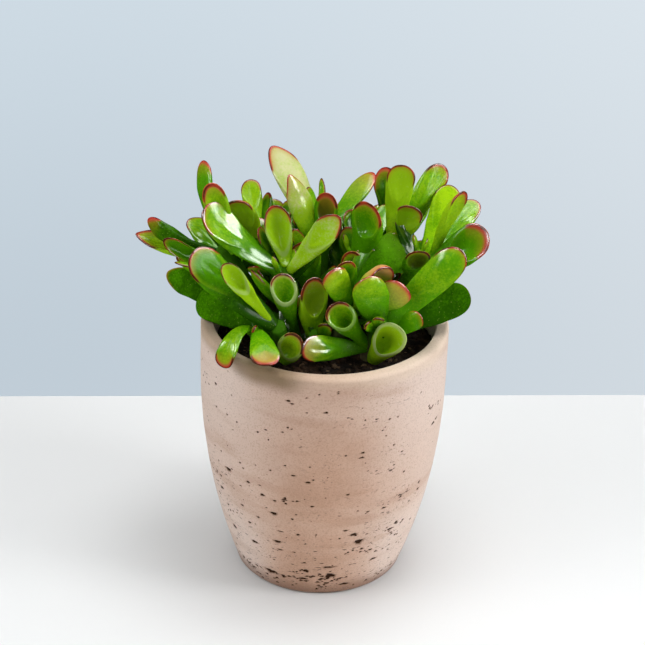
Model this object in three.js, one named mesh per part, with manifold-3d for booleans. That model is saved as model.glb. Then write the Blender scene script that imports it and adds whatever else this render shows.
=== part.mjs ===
// A finger jade plant in a tapered concrete pot.
// Millimetres, +Z up. The origin is the centre of the pot's flat base, and -Y is the front.
//
// The pot is one cast piece. The soil fills it to a little below the rim. Thirteen shoots stand in the soil,
// and each shoot carries fleshy leaves: flat paddles, spoons, channels and open trumpets. The larger leaves
// are pieces of their own. The small ones at the back of each shoot are part of its stem's piece.
import * as THREE from "three";
import { mergeVertices } from "three/addons/utils/BufferGeometryUtils.js";
import Module from "manifold-3d";

const wasm = await Module();
wasm.setup();

// The pot.
const RIM_DIAMETER = 130;
const BASE_DIAMETER = 89;
const POT_HEIGHT = 144;
const WALL_THICKNESS = 7;
const FLOOR_THICKNESS = 8;
const RIM_ROUNDING = 2;
const BASE_ROUNDING = 3;
// The outside swells from the base to its full width at this height, and is straight from there to the rim.
const SHOULDER_HEIGHT = 118;

// The soil.
const SOIL_LEVEL = 130;

// Neighbouring pieces keep this gap.
const GAP = 0.3;

// How finely the pieces are faceted.
const POT_SIDES = 40;
const STEM_SIDES = 8;
const LEAF_MESH = { sides: 8, outerRings: 5, innerRings: 2 };
const SMALL_LEAF_MESH = { sides: 6, outerRings: 4, innerRings: 1 };

// The photograph's viewpoint. A leaf that shows in it is placed by the pixel where its tip is, so each of
// these leaves reaches from its stem to the line of sight through that pixel.
const VIEW = {
  lookAt: new THREE.Vector3(-1.3, 0, 142),
  distance: 1051,
  elevation: 28,
  roll: 1.7,
  focalPixels: 2000,
  centrePixel: 322.5,
};

const POT_MATERIAL = { color: 0xbfa08c, roughness: 0.92, metalness: 0 };
const SOIL_MATERIAL = { color: 0x2b211b, roughness: 1, metalness: 0 };
const STEM_MATERIAL = { color: 0x66743a, roughness: 0.75, metalness: 0 };
const LEAF_MATERIAL = { color: 0x4f8f2b, roughness: 0.32, metalness: 0 };
const YOUNG_LEAF_MATERIAL = { color: 0x86b53a, roughness: 0.35, metalness: 0 };

// The leaf forms. Each leaf is a round stalk that widens into a body with a sloping mouth: its upper face.
//   heel    where the mouth begins, as a share of the leaf's length
//   hollow  how far the mouth dips back into the body, as a share of its length, or under 0 for a full face
//   depth   the body's thickness over the leaf's width
//   stalk   the stalk's width over the leaf's width
//   egg     how much wider the mouth is towards the tip than towards the heel
//   heelUp  the height of the mouth's edge at the heel, over the leaf's width
//   tipUp   the same at the tip
//   blunt   true where the underside runs on to the edge instead of thinning out
//   curl    how far the sides of the mouth rise, over the leaf's width
const FORMS = {
  paddle: { heel: 0.38, hollow: 0.04, depth: 0.27, stalk: 0.34, egg: 0.46, heelUp: 0, tipUp: 0, curl: 0 },
  blade: { heel: 0.3, hollow: 0.03, depth: 0.26, stalk: 0.34, egg: 0.3, heelUp: 0, tipUp: 0, curl: 0 },
  tongue: { heel: 0.3, hollow: -0.05, depth: 0.27, stalk: 0.36, egg: 0.36, heelUp: 0, tipUp: 0, curl: 0 },
  droop: { heel: 0.42, hollow: 0.08, depth: 0.28, stalk: 0.4, egg: 0.55, heelUp: 0, tipUp: 0, curl: 0 },
  spoon: {
    heel: 0.42, hollow: 0.14, depth: 0.34, stalk: 0.38, egg: 0.42, heelUp: 0.05,
    tipUp: 0.05, curl: 0.08,
  },
  channel: { heel: 0.16, hollow: 0.12, depth: 0.4, stalk: 0.4, egg: 0.4, heelUp: 0, tipUp: 0.06, curl: 0.2 },
  bud: { heel: 0.25, hollow: -0.05, depth: 0.4, stalk: 0.5, egg: 0.1, heelUp: 0, tipUp: 0, curl: 0 },
  bowl: {
    heel: 0.37, hollow: 0.26, depth: 0.46, stalk: 0.42, egg: 0.18, heelUp: 0.12, tipUp: -0.04, curl: 0.04,
    blunt: true,
  },
  cup: {
    heel: 0.4, hollow: 0.38, depth: 0.62, stalk: 0.46, egg: 0.02, heelUp: 0.22, tipUp: -0.08, curl: 0,
    blunt: true,
  },
  trumpet: {
    heel: 0.68, hollow: 0.5, depth: 0.55, stalk: 0.5, egg: 0.05, heelUp: 0.38, tipUp: -0.3, curl: 0,
    blunt: true,
  },
};

// The shoots. foot is where the stem leaves the soil (x, y) and top is its crown (x, y, z). radius is at the
// foot and at the crown. A leaf grows from the stem at the share "at" of its height.
//   tip      the photograph's pixel where the leaf ends
//   reach    whether it leans towards the viewer (near) or away (far)
//   faces    how far its upper face is turned from the viewer about the leaf, in degrees
//   heading, rise, roll   used instead of these for the leaves that the photograph hides, in degrees
//   curve, sway   how far the leaf bends towards its upper face, and sideways, in degrees
//   point    how far the tip runs out to a point, from 0 to 1
//   young    a yellower leaf
const SHOOTS = [
  {
    name: "left", foot: [-30, 2], top: [-55, -4, 186], radius: [5.5, 4.2],
    leaves: [
      {
        at: 0.97, tip: [202, 160], reach: "far", faces: -130, length: 50, width: 13, form: "paddle",
        curve: 8,
      },
      { at: 0.9, tip: [208, 182], reach: "near", faces: -15, length: 44, width: 13, form: "bowl", curve: 4 },
      {
        at: 0.9, tip: [148, 219], reach: "far", faces: -115, length: 46, width: 15, form: "paddle",
        curve: 6,
      },
      {
        at: 0.84, tip: [134, 232], reach: "far", faces: -30, length: 50, width: 12, form: "spoon", curve: 6,
        point: 0.6,
      },
      { at: 0.6, tip: [162, 239], reach: "near", faces: 20, length: 46, width: 9, form: "channel", curve: 6 },
      {
        at: 0.18, tip: [167, 272], reach: "far", faces: 180, length: 58, width: 14, form: "paddle", curve: 6,
        point: 0.3,
      },
    ],
    smallLeaves: [
      { at: 0.6, tip: [174, 263], reach: "near", faces: 90, length: 38, width: 9, form: "paddle", curve: 6 },
      { at: 0.22, tip: [262, 245], reach: "far", faces: 0, length: 48, width: 11, form: "droop", curve: 6 },
      { at: 0.75, heading: 125, rise: 12, length: 42, width: 14, form: "paddle", curve: 8 },
      { at: 0.55, heading: 150, rise: 5, length: 40, width: 14, form: "spoon", curve: 10 },
      { at: 0.8, heading: 55, rise: 15, length: 32, width: 12, form: "paddle", curve: 8 },
    ],
  },
  {
    name: "front_left", foot: [-23, -19], top: [-24, -32, 156], radius: [5, 4],
    leaves: [
      {
        at: 0.94, tip: [191, 252], reach: "near", faces: -20, length: 62, width: 19, form: "paddle",
        curve: -8,
      },
      {
        at: 1, tip: [223, 264], reach: "near", faces: 0, length: 54, width: 10, form: "spoon", curve: 8,
        young: true,
      },
      { at: 0.6, tip: [198, 297], reach: "far", faces: 180, length: 52, width: 18, form: "paddle", curve: 8 },
      {
        at: 0.08, tip: [300, 335], reach: "near", faces: 10, length: 34, width: 14, form: "bowl",
        curve: -50,
      },
    ],
    smallLeaves: [],
  },
  {
    name: "rim_left", foot: [-33, -21], top: [-36, -33, 153], radius: [3.4, 2.6],
    leaves: [
      { at: 0.98, heading: -121, rise: 50, roll: 0, length: 36, width: 11, form: "droop", curve: -150 },
      { at: 1, heading: -78, rise: 34, roll: 0, length: 33, width: 15, form: "droop", curve: -75 },
    ],
    smallLeaves: [
      { at: 1, tip: [254, 330], reach: "near", faces: 0, length: 8, width: 5, form: "bud", curve: 0 },
    ],
  },
  {
    name: "centre_left", foot: [-13, -3], top: [-22, -9, 177], radius: [5.2, 4],
    leaves: [
      {
        at: 0.97, tip: [204, 207], reach: "near", faces: -38, length: 54, width: 20, form: "paddle",
        curve: -6,
      },
      { at: 1, tip: [274, 205], reach: "near", faces: 0, length: 34, width: 14, form: "channel", curve: 6 },
      {
        at: 0.98, tip: [340, 216], reach: "near", faces: 10, length: 46, width: 14, form: "paddle", curve: -8,
        point: 0.3, young: true,
      },
      {
        at: 0.15, tip: [280, 272], reach: "near", faces: 0, length: 46, width: 14, form: "trumpet",
        curve: -22,
      },
    ],
    smallLeaves: [
      { at: 0.45, heading: -150, rise: 50, length: 34, width: 13, form: "paddle", curve: 8 },
    ],
  },
  {
    name: "back_left", foot: [-24, 20], top: [-38, 17, 180], radius: [5, 4],
    leaves: [
      { at: 0.9, tip: [235, 201], reach: "near", faces: 30, length: 42, width: 15, form: "spoon", curve: 6 },
      {
        at: 0.98, tip: [250, 178], reach: "far", faces: 0, length: 42, width: 11, form: "droop", curve: 8,
        young: true,
      },
      { at: 0.86, tip: [264, 194], reach: "far", faces: 60, length: 44, width: 13, form: "paddle", curve: 8 },
    ],
    smallLeaves: [
      { at: 0.62, tip: [274, 197], reach: "far", faces: 0, length: 50, width: 13, form: "spoon", curve: 6 },
      { at: 0.95, heading: 120, rise: 0, length: 42, width: 14, form: "paddle", curve: 8 },
      { at: 0.72, heading: 165, rise: -4, length: 42, width: 15, form: "paddle", curve: 10 },
      { at: 0.75, heading: 75, rise: 15, length: 40, width: 15, form: "bowl", curve: 8 },
      { at: 0.5, heading: 125, rise: 0, length: 40, width: 14, form: "paddle", curve: 12 },
      { at: 0.6, heading: -100, rise: 30, length: 30, width: 12, form: "paddle", curve: 8 },
    ],
  },
  {
    name: "centre", foot: [-5, 12], top: [-3, 16, 181], radius: [5.5, 4.2],
    leaves: [
      {
        at: 1, tip: [271, 144], reach: "far", faces: -20, length: 60, width: 17, form: "blade", curve: -14,
        sway: 14, point: 0.3,
      },
      {
        at: 0.94, tip: [288, 173], reach: "near", faces: 155, length: 42, width: 14, form: "blade", curve: 8,
        point: 0.6,
      },
      { at: 0.94, tip: [329, 192], reach: "near", faces: 25, length: 34, width: 14, form: "bowl", curve: 6 },
      { at: 0.35, tip: [302, 243], reach: "near", faces: 0, length: 40, width: 17, form: "spoon", curve: 6 },
      {
        at: 0.98, tip: [374, 172], reach: "far", faces: -135, length: 48, width: 14, form: "blade",
        curve: 6,
      },
    ],
    smallLeaves: [
      {
        at: 0.86, tip: [307, 186], reach: "near", faces: 120, length: 36, width: 10, form: "paddle",
        curve: 8,
      },
      { at: 0.99, tip: [321, 177], reach: "far", faces: 40, length: 40, width: 5, form: "bud", curve: 6 },
      { at: 0.7, tip: [293, 229], reach: "near", faces: 0, length: 30, width: 7, form: "bud", curve: 6 },
      { at: 0.75, heading: 100, rise: 22, length: 40, width: 14, form: "paddle", curve: 6 },
    ],
  },
  {
    name: "centre_back", foot: [12, 8], top: [15, 11, 178], radius: [5, 4],
    leaves: [
      { at: 0.98, tip: [373, 204], reach: "near", faces: 35, length: 36, width: 20, form: "bowl", curve: 6 },
    ],
    smallLeaves: [
      {
        at: 0.78, tip: [388, 205], reach: "far", faces: 180, length: 40, width: 10, form: "paddle",
        curve: 0,
      },
      { at: 0.45, tip: [353, 250], reach: "near", faces: 0, length: 30, width: 12, form: "bowl", curve: 4 },
    ],
  },
  {
    name: "back", foot: [4, 34], top: [6, 44, 170], radius: [5, 4],
    leaves: [],
    smallLeaves: [
      { at: 1, heading: 80, rise: 5, length: 42, width: 15, form: "paddle", curve: 8 },
      { at: 1, heading: 0, rise: 25, length: 38, width: 14, form: "spoon", curve: 8 },
      { at: 0.92, heading: 170, rise: 20, length: 38, width: 14, form: "paddle", curve: 8 },
      { at: 0.8, heading: 120, rise: 20, length: 42, width: 16, form: "paddle", curve: 10 },
      { at: 0.8, heading: 30, rise: 18, length: 42, width: 15, form: "spoon", curve: 10 },
      { at: 0.55, heading: 75, rise: 5, length: 38, width: 15, form: "paddle", curve: 12 },
    ],
  },
  {
    name: "back_right", foot: [24, 24], top: [37, 21, 179], radius: [5, 4],
    leaves: [
      { at: 0.9, tip: [382, 166], reach: "far", faces: 30, length: 48, width: 14, form: "paddle", curve: 8 },
      {
        at: 0.98, tip: [403, 164], reach: "near", faces: 0, length: 44, width: 15, form: "droop", curve: -6,
        young: true,
      },
      {
        at: 0.94, tip: [445, 164], reach: "far", faces: -25, length: 50, width: 15, form: "paddle",
        curve: 6,
      },
      { at: 0.96, tip: [414, 207], reach: "near", faces: 0, length: 30, width: 14, form: "spoon", curve: 6 },
    ],
    smallLeaves: [
      { at: 0.92, heading: 70, rise: 15, length: 42, width: 15, form: "paddle", curve: 8 },
      { at: 0.8, heading: 95, rise: 10, length: 42, width: 15, form: "spoon", curve: 10 },
      { at: 0.75, heading: 20, rise: 15, length: 42, width: 14, form: "bowl", curve: 8 },
      { at: 0.5, heading: 55, rise: 5, length: 40, width: 14, form: "paddle", curve: 12 },
    ],
  },
  {
    name: "right", foot: [30, 4], top: [51, 2, 181], radius: [5.5, 4.2],
    leaves: [
      {
        at: 0.97, tip: [453, 184], reach: "far", faces: 0, length: 48, width: 14, form: "paddle", curve: 6,
        young: true,
      },
      { at: 1, tip: [465, 191], reach: "near", faces: -55, length: 42, width: 12, form: "spoon", curve: 6 },
      { at: 0.92, tip: [477, 199], reach: "far", faces: 30, length: 48, width: 14, form: "paddle", curve: 8 },
      { at: 0.92, tip: [490, 234], reach: "near", faces: 20, length: 42, width: 20, form: "bowl", curve: 6 },
      { at: 0.72, tip: [421, 250], reach: "near", faces: -20, length: 32, width: 14, form: "bowl", curve: 0 },
    ],
    smallLeaves: [
      { at: 0.75, heading: 60, rise: 25, length: 40, width: 15, form: "paddle", curve: 8 },
    ],
  },
  {
    name: "centre_right", foot: [6, -12], top: [14, -22, 166], radius: [5, 4],
    leaves: [
      { at: 1, tip: [405, 235], reach: "far", faces: 180, length: 50, width: 18, form: "paddle", curve: 0 },
      { at: 1, tip: [344, 261], reach: "near", faces: -20, length: 26, width: 13, form: "bowl", curve: 4 },
      {
        at: 0.84, tip: [407, 286], reach: "near", faces: 150, length: 36, width: 17, form: "paddle",
        curve: 0,
      },
      {
        at: 0.98, tip: [330, 270], reach: "near", faces: 170, length: 32, width: 14, form: "paddle",
        curve: 0,
      },
    ],
    smallLeaves: [
      {
        at: 0.96, tip: [388, 268], reach: "near", faces: -50, length: 34, width: 15, form: "channel",
        curve: 10,
      },
      {
        at: 0.92, tip: [345, 269], reach: "far", faces: 170, length: 26, width: 10, form: "paddle",
        curve: 0,
      },
      { at: 0.5, heading: -20, rise: 40, length: 30, width: 12, form: "paddle", curve: 8 },
    ],
  },
  {
    name: "front_right", foot: [23, -15], top: [32, -30, 159], radius: [5.2, 4],
    leaves: [
      { at: 0.95, tip: [464, 250], reach: "near", faces: 0, length: 54, width: 17, form: "tongue", curve: 0 },
      {
        at: 0.55, tip: [470, 292], reach: "far", faces: 180, length: 52, width: 18, form: "paddle",
        curve: 8,
      },
      {
        at: 0.88, tip: [365, 276], reach: "near", faces: 180, length: 36, width: 18, form: "blade",
        curve: 0,
      },
      {
        at: 0.28, tip: [332, 303], reach: "near", faces: 10, length: 38, width: 15, form: "trumpet",
        curve: 0,
      },
      {
        at: 0.25, tip: [301, 349], reach: "near", faces: 10, length: 44, width: 14, form: "paddle",
        curve: -10,
      },
      { at: 0.12, tip: [400, 325], reach: "near", faces: 0, length: 38, width: 17, form: "cup", curve: -35 },
    ],
    smallLeaves: [
      {
        at: 0.62, tip: [423, 316], reach: "near", faces: 180, length: 28, width: 10, form: "paddle",
        curve: 0,
      },
      { at: 0.72, tip: [367, 324], reach: "near", faces: 0, length: 18, width: 6, form: "bud", curve: 0 },
      { at: 0.8, tip: [379, 319], reach: "near", faces: 0, length: 18, width: 7, form: "bud", curve: 0 },
      { at: 0.3, heading: 100, rise: 50, length: 30, width: 12, form: "paddle", curve: 8 },
    ],
  },
  {
    name: "front", foot: [-5, -15], top: [-5, -25, 148], radius: [4, 3.2],
    leaves: [
      {
        at: 0.35, tip: [311, 277], reach: "near", faces: -35, length: 40, width: 17, form: "bowl",
        curve: -10,
      },
    ],
    smallLeaves: [
      { at: 0.6, tip: [326, 325], reach: "near", faces: 0, length: 22, width: 8, form: "bud", curve: 0 },
    ],
  },
];

// --- Solids -----------------------------------------------------------------------------------------------

function solidFrom(geometry) {
  const bare = geometry.clone();
  bare.deleteAttribute("normal");
  bare.deleteAttribute("uv");
  const merged = mergeVertices(bare, 1e-4);
  return new wasm.Manifold(
    new wasm.Mesh({
      numProp: 3,
      vertProperties: new Float32Array(merged.attributes.position.array),
      triVerts: new Uint32Array(merged.index.array),
    }),
  );
}

function geometryFrom(solid) {
  const mesh = solid.getMesh();
  const geometry = new THREE.BufferGeometry();
  geometry.setAttribute("position", new THREE.BufferAttribute(new Float32Array(mesh.vertProperties), 3));
  geometry.setIndex(new THREE.BufferAttribute(new Uint32Array(mesh.triVerts), 1));
  geometry.computeVertexNormals();
  return geometry;
}

// The same shape with its surface moved outwards by the gap, for cutting a neighbour clear of it.
function grown(geometry) {
  const wider = geometry.clone();
  wider.deleteAttribute("uv");
  wider.deleteAttribute("normal");
  const merged = mergeVertices(wider, 1e-4);
  merged.computeVertexNormals();
  const position = merged.attributes.position;
  const normal = merged.attributes.normal;
  for (let i = 0; i < position.count; i += 1) {
    position.setXYZ(
      i,
      position.getX(i) + GAP * normal.getX(i),
      position.getY(i) + GAP * normal.getY(i),
      position.getZ(i) + GAP * normal.getZ(i),
    );
  }
  return merged;
}

// What is left of a solid beside its neighbours. A sliver that a cut leaves loose is dropped.
function cutClear(solid, neighbours) {
  let rest = solid;
  for (const neighbour of neighbours) {
    rest = rest.subtract(neighbour);
  }
  const bodies = rest.decompose();
  bodies.sort((a, b) => b.volume() - a.volume());
  return bodies[0];
}

// A closed skin through rings of points, with a point at each end.
function loft(firstPoint, rings, lastPoint) {
  const sides = rings[0].length;
  const points = [firstPoint, ...rings.flat(), lastPoint];
  const last = points.length - 1;
  const index = [];
  const at = (ring, side) => 1 + ring * sides + (side % sides);
  for (let side = 0; side < sides; side += 1) {
    index.push(0, at(0, side + 1), at(0, side));
    for (let ring = 0; ring < rings.length - 1; ring += 1) {
      index.push(at(ring, side), at(ring + 1, side + 1), at(ring + 1, side));
      index.push(at(ring, side), at(ring, side + 1), at(ring + 1, side + 1));
    }
    index.push(at(rings.length - 1, side), at(rings.length - 1, side + 1), last);
  }
  const geometry = new THREE.BufferGeometry().setFromPoints(points);
  geometry.setIndex(index);
  geometry.computeVertexNormals();
  return geometry;
}

// --- The pot and the soil ---------------------------------------------------------------------------------

// The pot's outside radius at a height: it swells evenly less towards the shoulder.
function outsideRadius(height) {
  const share = Math.min(1, height / SHOULDER_HEIGHT);
  const swell = 1 - (1 - share) ** 2.1;
  return BASE_DIAMETER / 2 + (RIM_DIAMETER / 2 - BASE_DIAMETER / 2) * swell;
}

function insideRadius(height) {
  return outsideRadius(height) - WALL_THICKNESS;
}

function potGeometry() {
  const heights = [BASE_ROUNDING, 30, 65, SHOULDER_HEIGHT];
  const rim = RIM_DIAMETER / 2;
  const mouth = rim - WALL_THICKNESS;
  const profile = new THREE.Path();
  profile.moveTo(0, 0);
  profile.lineTo(outsideRadius(0) - BASE_ROUNDING, 0);
  for (const height of heights) {
    profile.lineTo(outsideRadius(height), height);
  }
  profile.lineTo(rim, POT_HEIGHT - RIM_ROUNDING);
  profile.absarc(rim - RIM_ROUNDING, POT_HEIGHT - RIM_ROUNDING, RIM_ROUNDING, 0, Math.PI / 2);
  profile.lineTo(mouth + RIM_ROUNDING / 2, POT_HEIGHT);
  profile.lineTo(mouth, POT_HEIGHT - RIM_ROUNDING / 2);
  for (const height of heights.slice(1).reverse()) {
    profile.lineTo(insideRadius(height), height);
  }
  profile.lineTo(insideRadius(FLOOR_THICKNESS), FLOOR_THICKNESS);
  profile.lineTo(0, FLOOR_THICKNESS);
  return new THREE.LatheGeometry(profile.getPoints(2), POT_SIDES).rotateX(Math.PI / 2);
}

function soilGeometry() {
  const profile = [new THREE.Vector2(0, FLOOR_THICKNESS + GAP)];
  for (const height of [FLOOR_THICKNESS + GAP, 30, 65, SHOULDER_HEIGHT, SOIL_LEVEL]) {
    profile.push(new THREE.Vector2(insideRadius(height) - GAP, height));
  }
  profile.push(new THREE.Vector2(0, SOIL_LEVEL));
  return new THREE.LatheGeometry(profile, POT_SIDES).rotateX(Math.PI / 2);
}

// --- The stems --------------------------------------------------------------------------------------------

// A stem's centre line: it leaves the soil steeply and leans out to its crown.
function stemLine(shoot) {
  const [footX, footY] = shoot.foot;
  const [topX, topY, topZ] = shoot.top;
  return new THREE.QuadraticBezierCurve3(
    new THREE.Vector3(footX, footY, SOIL_LEVEL),
    new THREE.Vector3(0.65 * footX + 0.35 * topX, 0.65 * footY + 0.35 * topY, 0.4 * SOIL_LEVEL + 0.6 * topZ),
    new THREE.Vector3(topX, topY, topZ),
  );
}

function stemRadius(shoot, share) {
  return THREE.MathUtils.lerp(shoot.radius[0], shoot.radius[1], share);
}

// The stem runs a little into the soil, and its crown is a low dome.
function stemGeometry(shoot) {
  const line = stemLine(shoot);
  const shares = [0, 0.33, 0.66, 0.95, 1];
  const rings = [];
  const ringAt = (centre, tangent, radius) => {
    const across = new THREE.Vector3(0, 1, 0).cross(tangent).normalize();
    const along = tangent.clone().cross(across);
    const ring = [];
    for (let side = 0; side < STEM_SIDES; side += 1) {
      const angle = (2 * Math.PI * side) / STEM_SIDES;
      const point = centre.clone();
      point.addScaledVector(across, radius * Math.cos(angle));
      point.addScaledVector(along, radius * Math.sin(angle));
      ring.push(point);
    }
    return ring;
  };
  const start = line.getTangent(0);
  const buried = line.getPoint(0).addScaledVector(start, -6);
  rings.push(ringAt(buried, start, shoot.radius[0]));
  for (const share of shares) {
    const dome = share === 1 ? 0.6 : 1;
    rings.push(ringAt(line.getPoint(share), line.getTangent(share), dome * stemRadius(shoot, share)));
  }
  const crown = line.getPoint(1).addScaledVector(line.getTangent(1), 1.5);
  return loft(buried, rings, crown);
}

// --- The leaves -------------------------------------------------------------------------------------------

// A cross-section of the leaf's body, from the stalk (share 0) to the mouth (share 1), as the middle and the
// half size of an upright oval that leans further back the nearer it is to the mouth.
function leafSection(leaf, form, share) {
  const tip = leaf.length * share;
  const heel = form.heel * leaf.length * share ** 1.15;
  const stalk = (form.stalk * leaf.width) / 2;
  const depth = form.depth * leaf.width;
  const underside = THREE.MathUtils.lerp(stalk, depth, THREE.MathUtils.smoothstep(share, 0, 0.6));
  const late = THREE.MathUtils.smoothstep(share, 0, 1);
  const thinning = Math.sqrt(Math.max(0, 1 - (Math.max(0, share - 0.62) / 0.38) ** 2));
  const closing = THREE.MathUtils.smoothstep(share, 0.5, 1);
  const tipHeight = form.blunt
    ? THREE.MathUtils.lerp(-underside, form.tipUp * leaf.width, closing)
    : -underside * thinning + form.tipUp * leaf.width * late;
  const heelHeight = THREE.MathUtils.lerp(stalk, form.heelUp * leaf.width, late);
  return {
    middleX: (tip + heel) / 2,
    halfX: (tip - heel) / 2,
    halfY: stalk + (leaf.width / 2 - stalk) * Math.sin((Math.PI / 2) * share) ** 1.6,
    middleZ: (tipHeight + heelHeight) / 2,
    halfZ: (tipHeight - heelHeight) / 2,
  };
}

// How much wider an egg-shaped oval is than a plain one of the same half width.
function eggWidth(egg) {
  if (egg === 0) {
    return 1;
  }
  const widest = (Math.sqrt(1 + 8 * egg * egg) - 1) / (4 * egg);
  return Math.sqrt(1 - widest * widest) * (1 + egg * widest);
}

function leafRing(leaf, form, share, shrink, sides) {
  const section = leafSection(leaf, form, share);
  const late = THREE.MathUtils.smoothstep(share, 0, 1);
  const point = leaf.point ?? 0;
  const ring = [];
  for (let side = 0; side < sides; side += 1) {
    const angle = (2 * Math.PI * side) / sides;
    const forward = Math.cos(angle);
    const sideways = Math.sin(angle);
    const ahead = Math.max(0, forward);
    const eggShape = (1 + form.egg * late * forward) / (1 + (eggWidth(form.egg) - 1) * late);
    const rise = form.curl * leaf.width * sideways ** 2 * THREE.MathUtils.smoothstep(share, 0.3, 1);
    ring.push(
      new THREE.Vector3(
        section.middleX + shrink * section.halfX * (forward + 0.35 * point * late * ahead ** 8),
        shrink * section.halfY * sideways * eggShape * (1 - 0.35 * point * late * ahead ** 2),
        section.middleZ + shrink * section.halfZ * forward + shrink ** 2 * rise,
      ),
    );
  }
  return ring;
}

// Bends a leaf that lies along X into an arc that ends "degrees" off, towards the given axis.
function bendPoint(point, length, degrees, axis) {
  if (degrees === 0) {
    return;
  }
  const curvature = THREE.MathUtils.degToRad(degrees) / length;
  const turn = curvature * point.x;
  const height = point[axis];
  point.x = Math.sin(turn) / curvature - height * Math.sin(turn);
  point[axis] = (1 - Math.cos(turn)) / curvature + height * Math.cos(turn);
}

function bendLeafPoint(leaf, point) {
  bendPoint(point, leaf.length, leaf.curve ?? 0, "z");
  bendPoint(point, leaf.length, leaf.sway ?? 0, "y");
  return point;
}

// The leaf lies along X from its root at the origin, with its upper face towards Z.
function leafGeometry(leaf, mesh) {
  const form = FORMS[leaf.form];
  const rings = [];
  for (let ring = 0; ring <= mesh.outerRings; ring += 1) {
    const share = 1 - (1 - ring / mesh.outerRings) ** 1.35;
    rings.push(leafRing(leaf, form, share, 1, mesh.sides));
  }
  const mouth = leafSection(leaf, form, 1);
  const faceUp = new THREE.Vector3(-mouth.halfZ, 0, mouth.halfX).normalize();
  const lip = Math.min(0.9, 0.08 * leaf.width) / (leaf.width / 2);
  for (let ring = 0; ring < mesh.innerRings; ring += 1) {
    const inward = ring / mesh.innerRings;
    const sunk = 1 - (1 - inward) ** 2;
    const share = 1 - Math.max(0, form.hollow) * sunk;
    const lift = form.hollow < 0 ? -form.hollow * leaf.width * sunk : 0.25 * (1 - inward) ** 2;
    const points = leafRing(leaf, form, share, (1 - lip) * (1 - inward), mesh.sides);
    rings.push(points.map((point) => point.addScaledVector(faceUp, lift)));
  }
  const deepest = leafSection(leaf, form, 1 - Math.max(0, form.hollow));
  const middle = new THREE.Vector3(deepest.middleX, 0, deepest.middleZ);
  middle.addScaledVector(faceUp, Math.max(0, -form.hollow) * leaf.width);
  const root = new THREE.Vector3(0, 0, 0);
  for (const point of [root, ...rings.flat(), middle]) {
    bendLeafPoint(leaf, point);
  }
  return loft(root, rings, middle);
}

// Where a leaf that heads this way leaves the stem: just under the bark.
function rootOnStem(shoot, at, heading) {
  const line = stemLine(shoot);
  const tangent = line.getTangent(at);
  const outwards = heading.clone().addScaledVector(tangent, -heading.dot(tangent));
  if (outwards.length() < 0.15) {
    outwards.set(heading.x, heading.y, 0);
  }
  const root = line.getPoint(at);
  return root.addScaledVector(outwards.normalize(), 0.85 * stemRadius(shoot, at));
}

// The line from the viewer through a pixel of the photograph.
function sightLine(pixel) {
  const elevation = THREE.MathUtils.degToRad(VIEW.elevation);
  const roll = THREE.MathUtils.degToRad(VIEW.roll);
  const towardsViewer = new THREE.Vector3(0, -Math.cos(elevation), Math.sin(elevation));
  const right = new THREE.Vector3(1, 0, 0);
  const up = towardsViewer.clone().cross(right);
  right.applyAxisAngle(towardsViewer, roll);
  up.applyAxisAngle(towardsViewer, roll);
  const direction = towardsViewer.clone().negate();
  direction.addScaledVector(right, (pixel[0] - VIEW.centrePixel) / VIEW.focalPixels);
  direction.addScaledVector(up, (VIEW.centrePixel - pixel[1]) / VIEW.focalPixels);
  return {
    eye: VIEW.lookAt.clone().addScaledVector(towardsViewer, VIEW.distance),
    direction: direction.normalize(),
    towardsViewer,
  };
}

// Places a leaf so that its tip lies on the sight line: at its own length from the root, on the near or the
// far side, or as close as it comes where it is too short.
function placeBySight(shoot, leaf) {
  const form = FORMS[leaf.form];
  const pointed = 0.35 * (leaf.point ?? 0) * (1 - form.heel) * 0.5 * leaf.length;
  const tip = bendLeafPoint(leaf, new THREE.Vector3(leaf.length + pointed, 0, form.tipUp * leaf.width));
  const reach = tip.length();
  const sight = sightLine(leaf.tip);
  const chord = new THREE.Vector3(0, 0, 1);
  let root = null;
  for (let pass = 0; pass < 8; pass += 1) {
    root = rootOnStem(shoot, leaf.at, chord);
    const along = root.clone().sub(sight.eye).dot(sight.direction);
    const nearest = sight.eye.clone().addScaledVector(sight.direction, along);
    const short = Math.sqrt(Math.max(0, reach ** 2 - nearest.distanceToSquared(root)));
    nearest.addScaledVector(sight.direction, leaf.reach === "near" ? -short : short);
    chord.copy(nearest.sub(root).normalize());
  }
  const facing = sight.towardsViewer.clone().addScaledVector(chord, -sight.towardsViewer.dot(chord));
  facing.normalize().applyAxisAngle(chord, -THREE.MathUtils.degToRad(leaf.faces));
  const worldAxes = new THREE.Matrix4().makeBasis(chord, facing.clone().cross(chord), facing);
  const tipAxis = tip.clone().normalize();
  const upAxis = new THREE.Vector3(0, 0, 1).addScaledVector(tipAxis, -tipAxis.z).normalize();
  const leafAxes = new THREE.Matrix4().makeBasis(tipAxis, upAxis.clone().cross(tipAxis), upAxis);
  const rotation = worldAxes.multiply(leafAxes.transpose());
  return { root, quaternion: new THREE.Quaternion().setFromRotationMatrix(rotation) };
}

function placeByHeading(shoot, leaf) {
  const heading = THREE.MathUtils.degToRad(leaf.heading);
  const rise = THREE.MathUtils.degToRad(leaf.rise);
  const roll = THREE.MathUtils.degToRad(leaf.roll ?? 0);
  const rotation = new THREE.Euler(roll, -rise, heading, "ZYX");
  const quaternion = new THREE.Quaternion().setFromEuler(rotation);
  const along = new THREE.Vector3(1, 0, 0).applyQuaternion(quaternion);
  return { root: rootOnStem(shoot, leaf.at, along), quaternion };
}

function placeLeaf(shoot, leaf) {
  return leaf.tip ? placeBySight(shoot, leaf) : placeByHeading(shoot, leaf);
}

// --- The assembly -----------------------------------------------------------------------------------------

function pieceMesh(name, geometry, look) {
  const mesh = new THREE.Mesh(geometry, new THREE.MeshStandardMaterial(look));
  mesh.name = name;
  return mesh;
}

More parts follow.
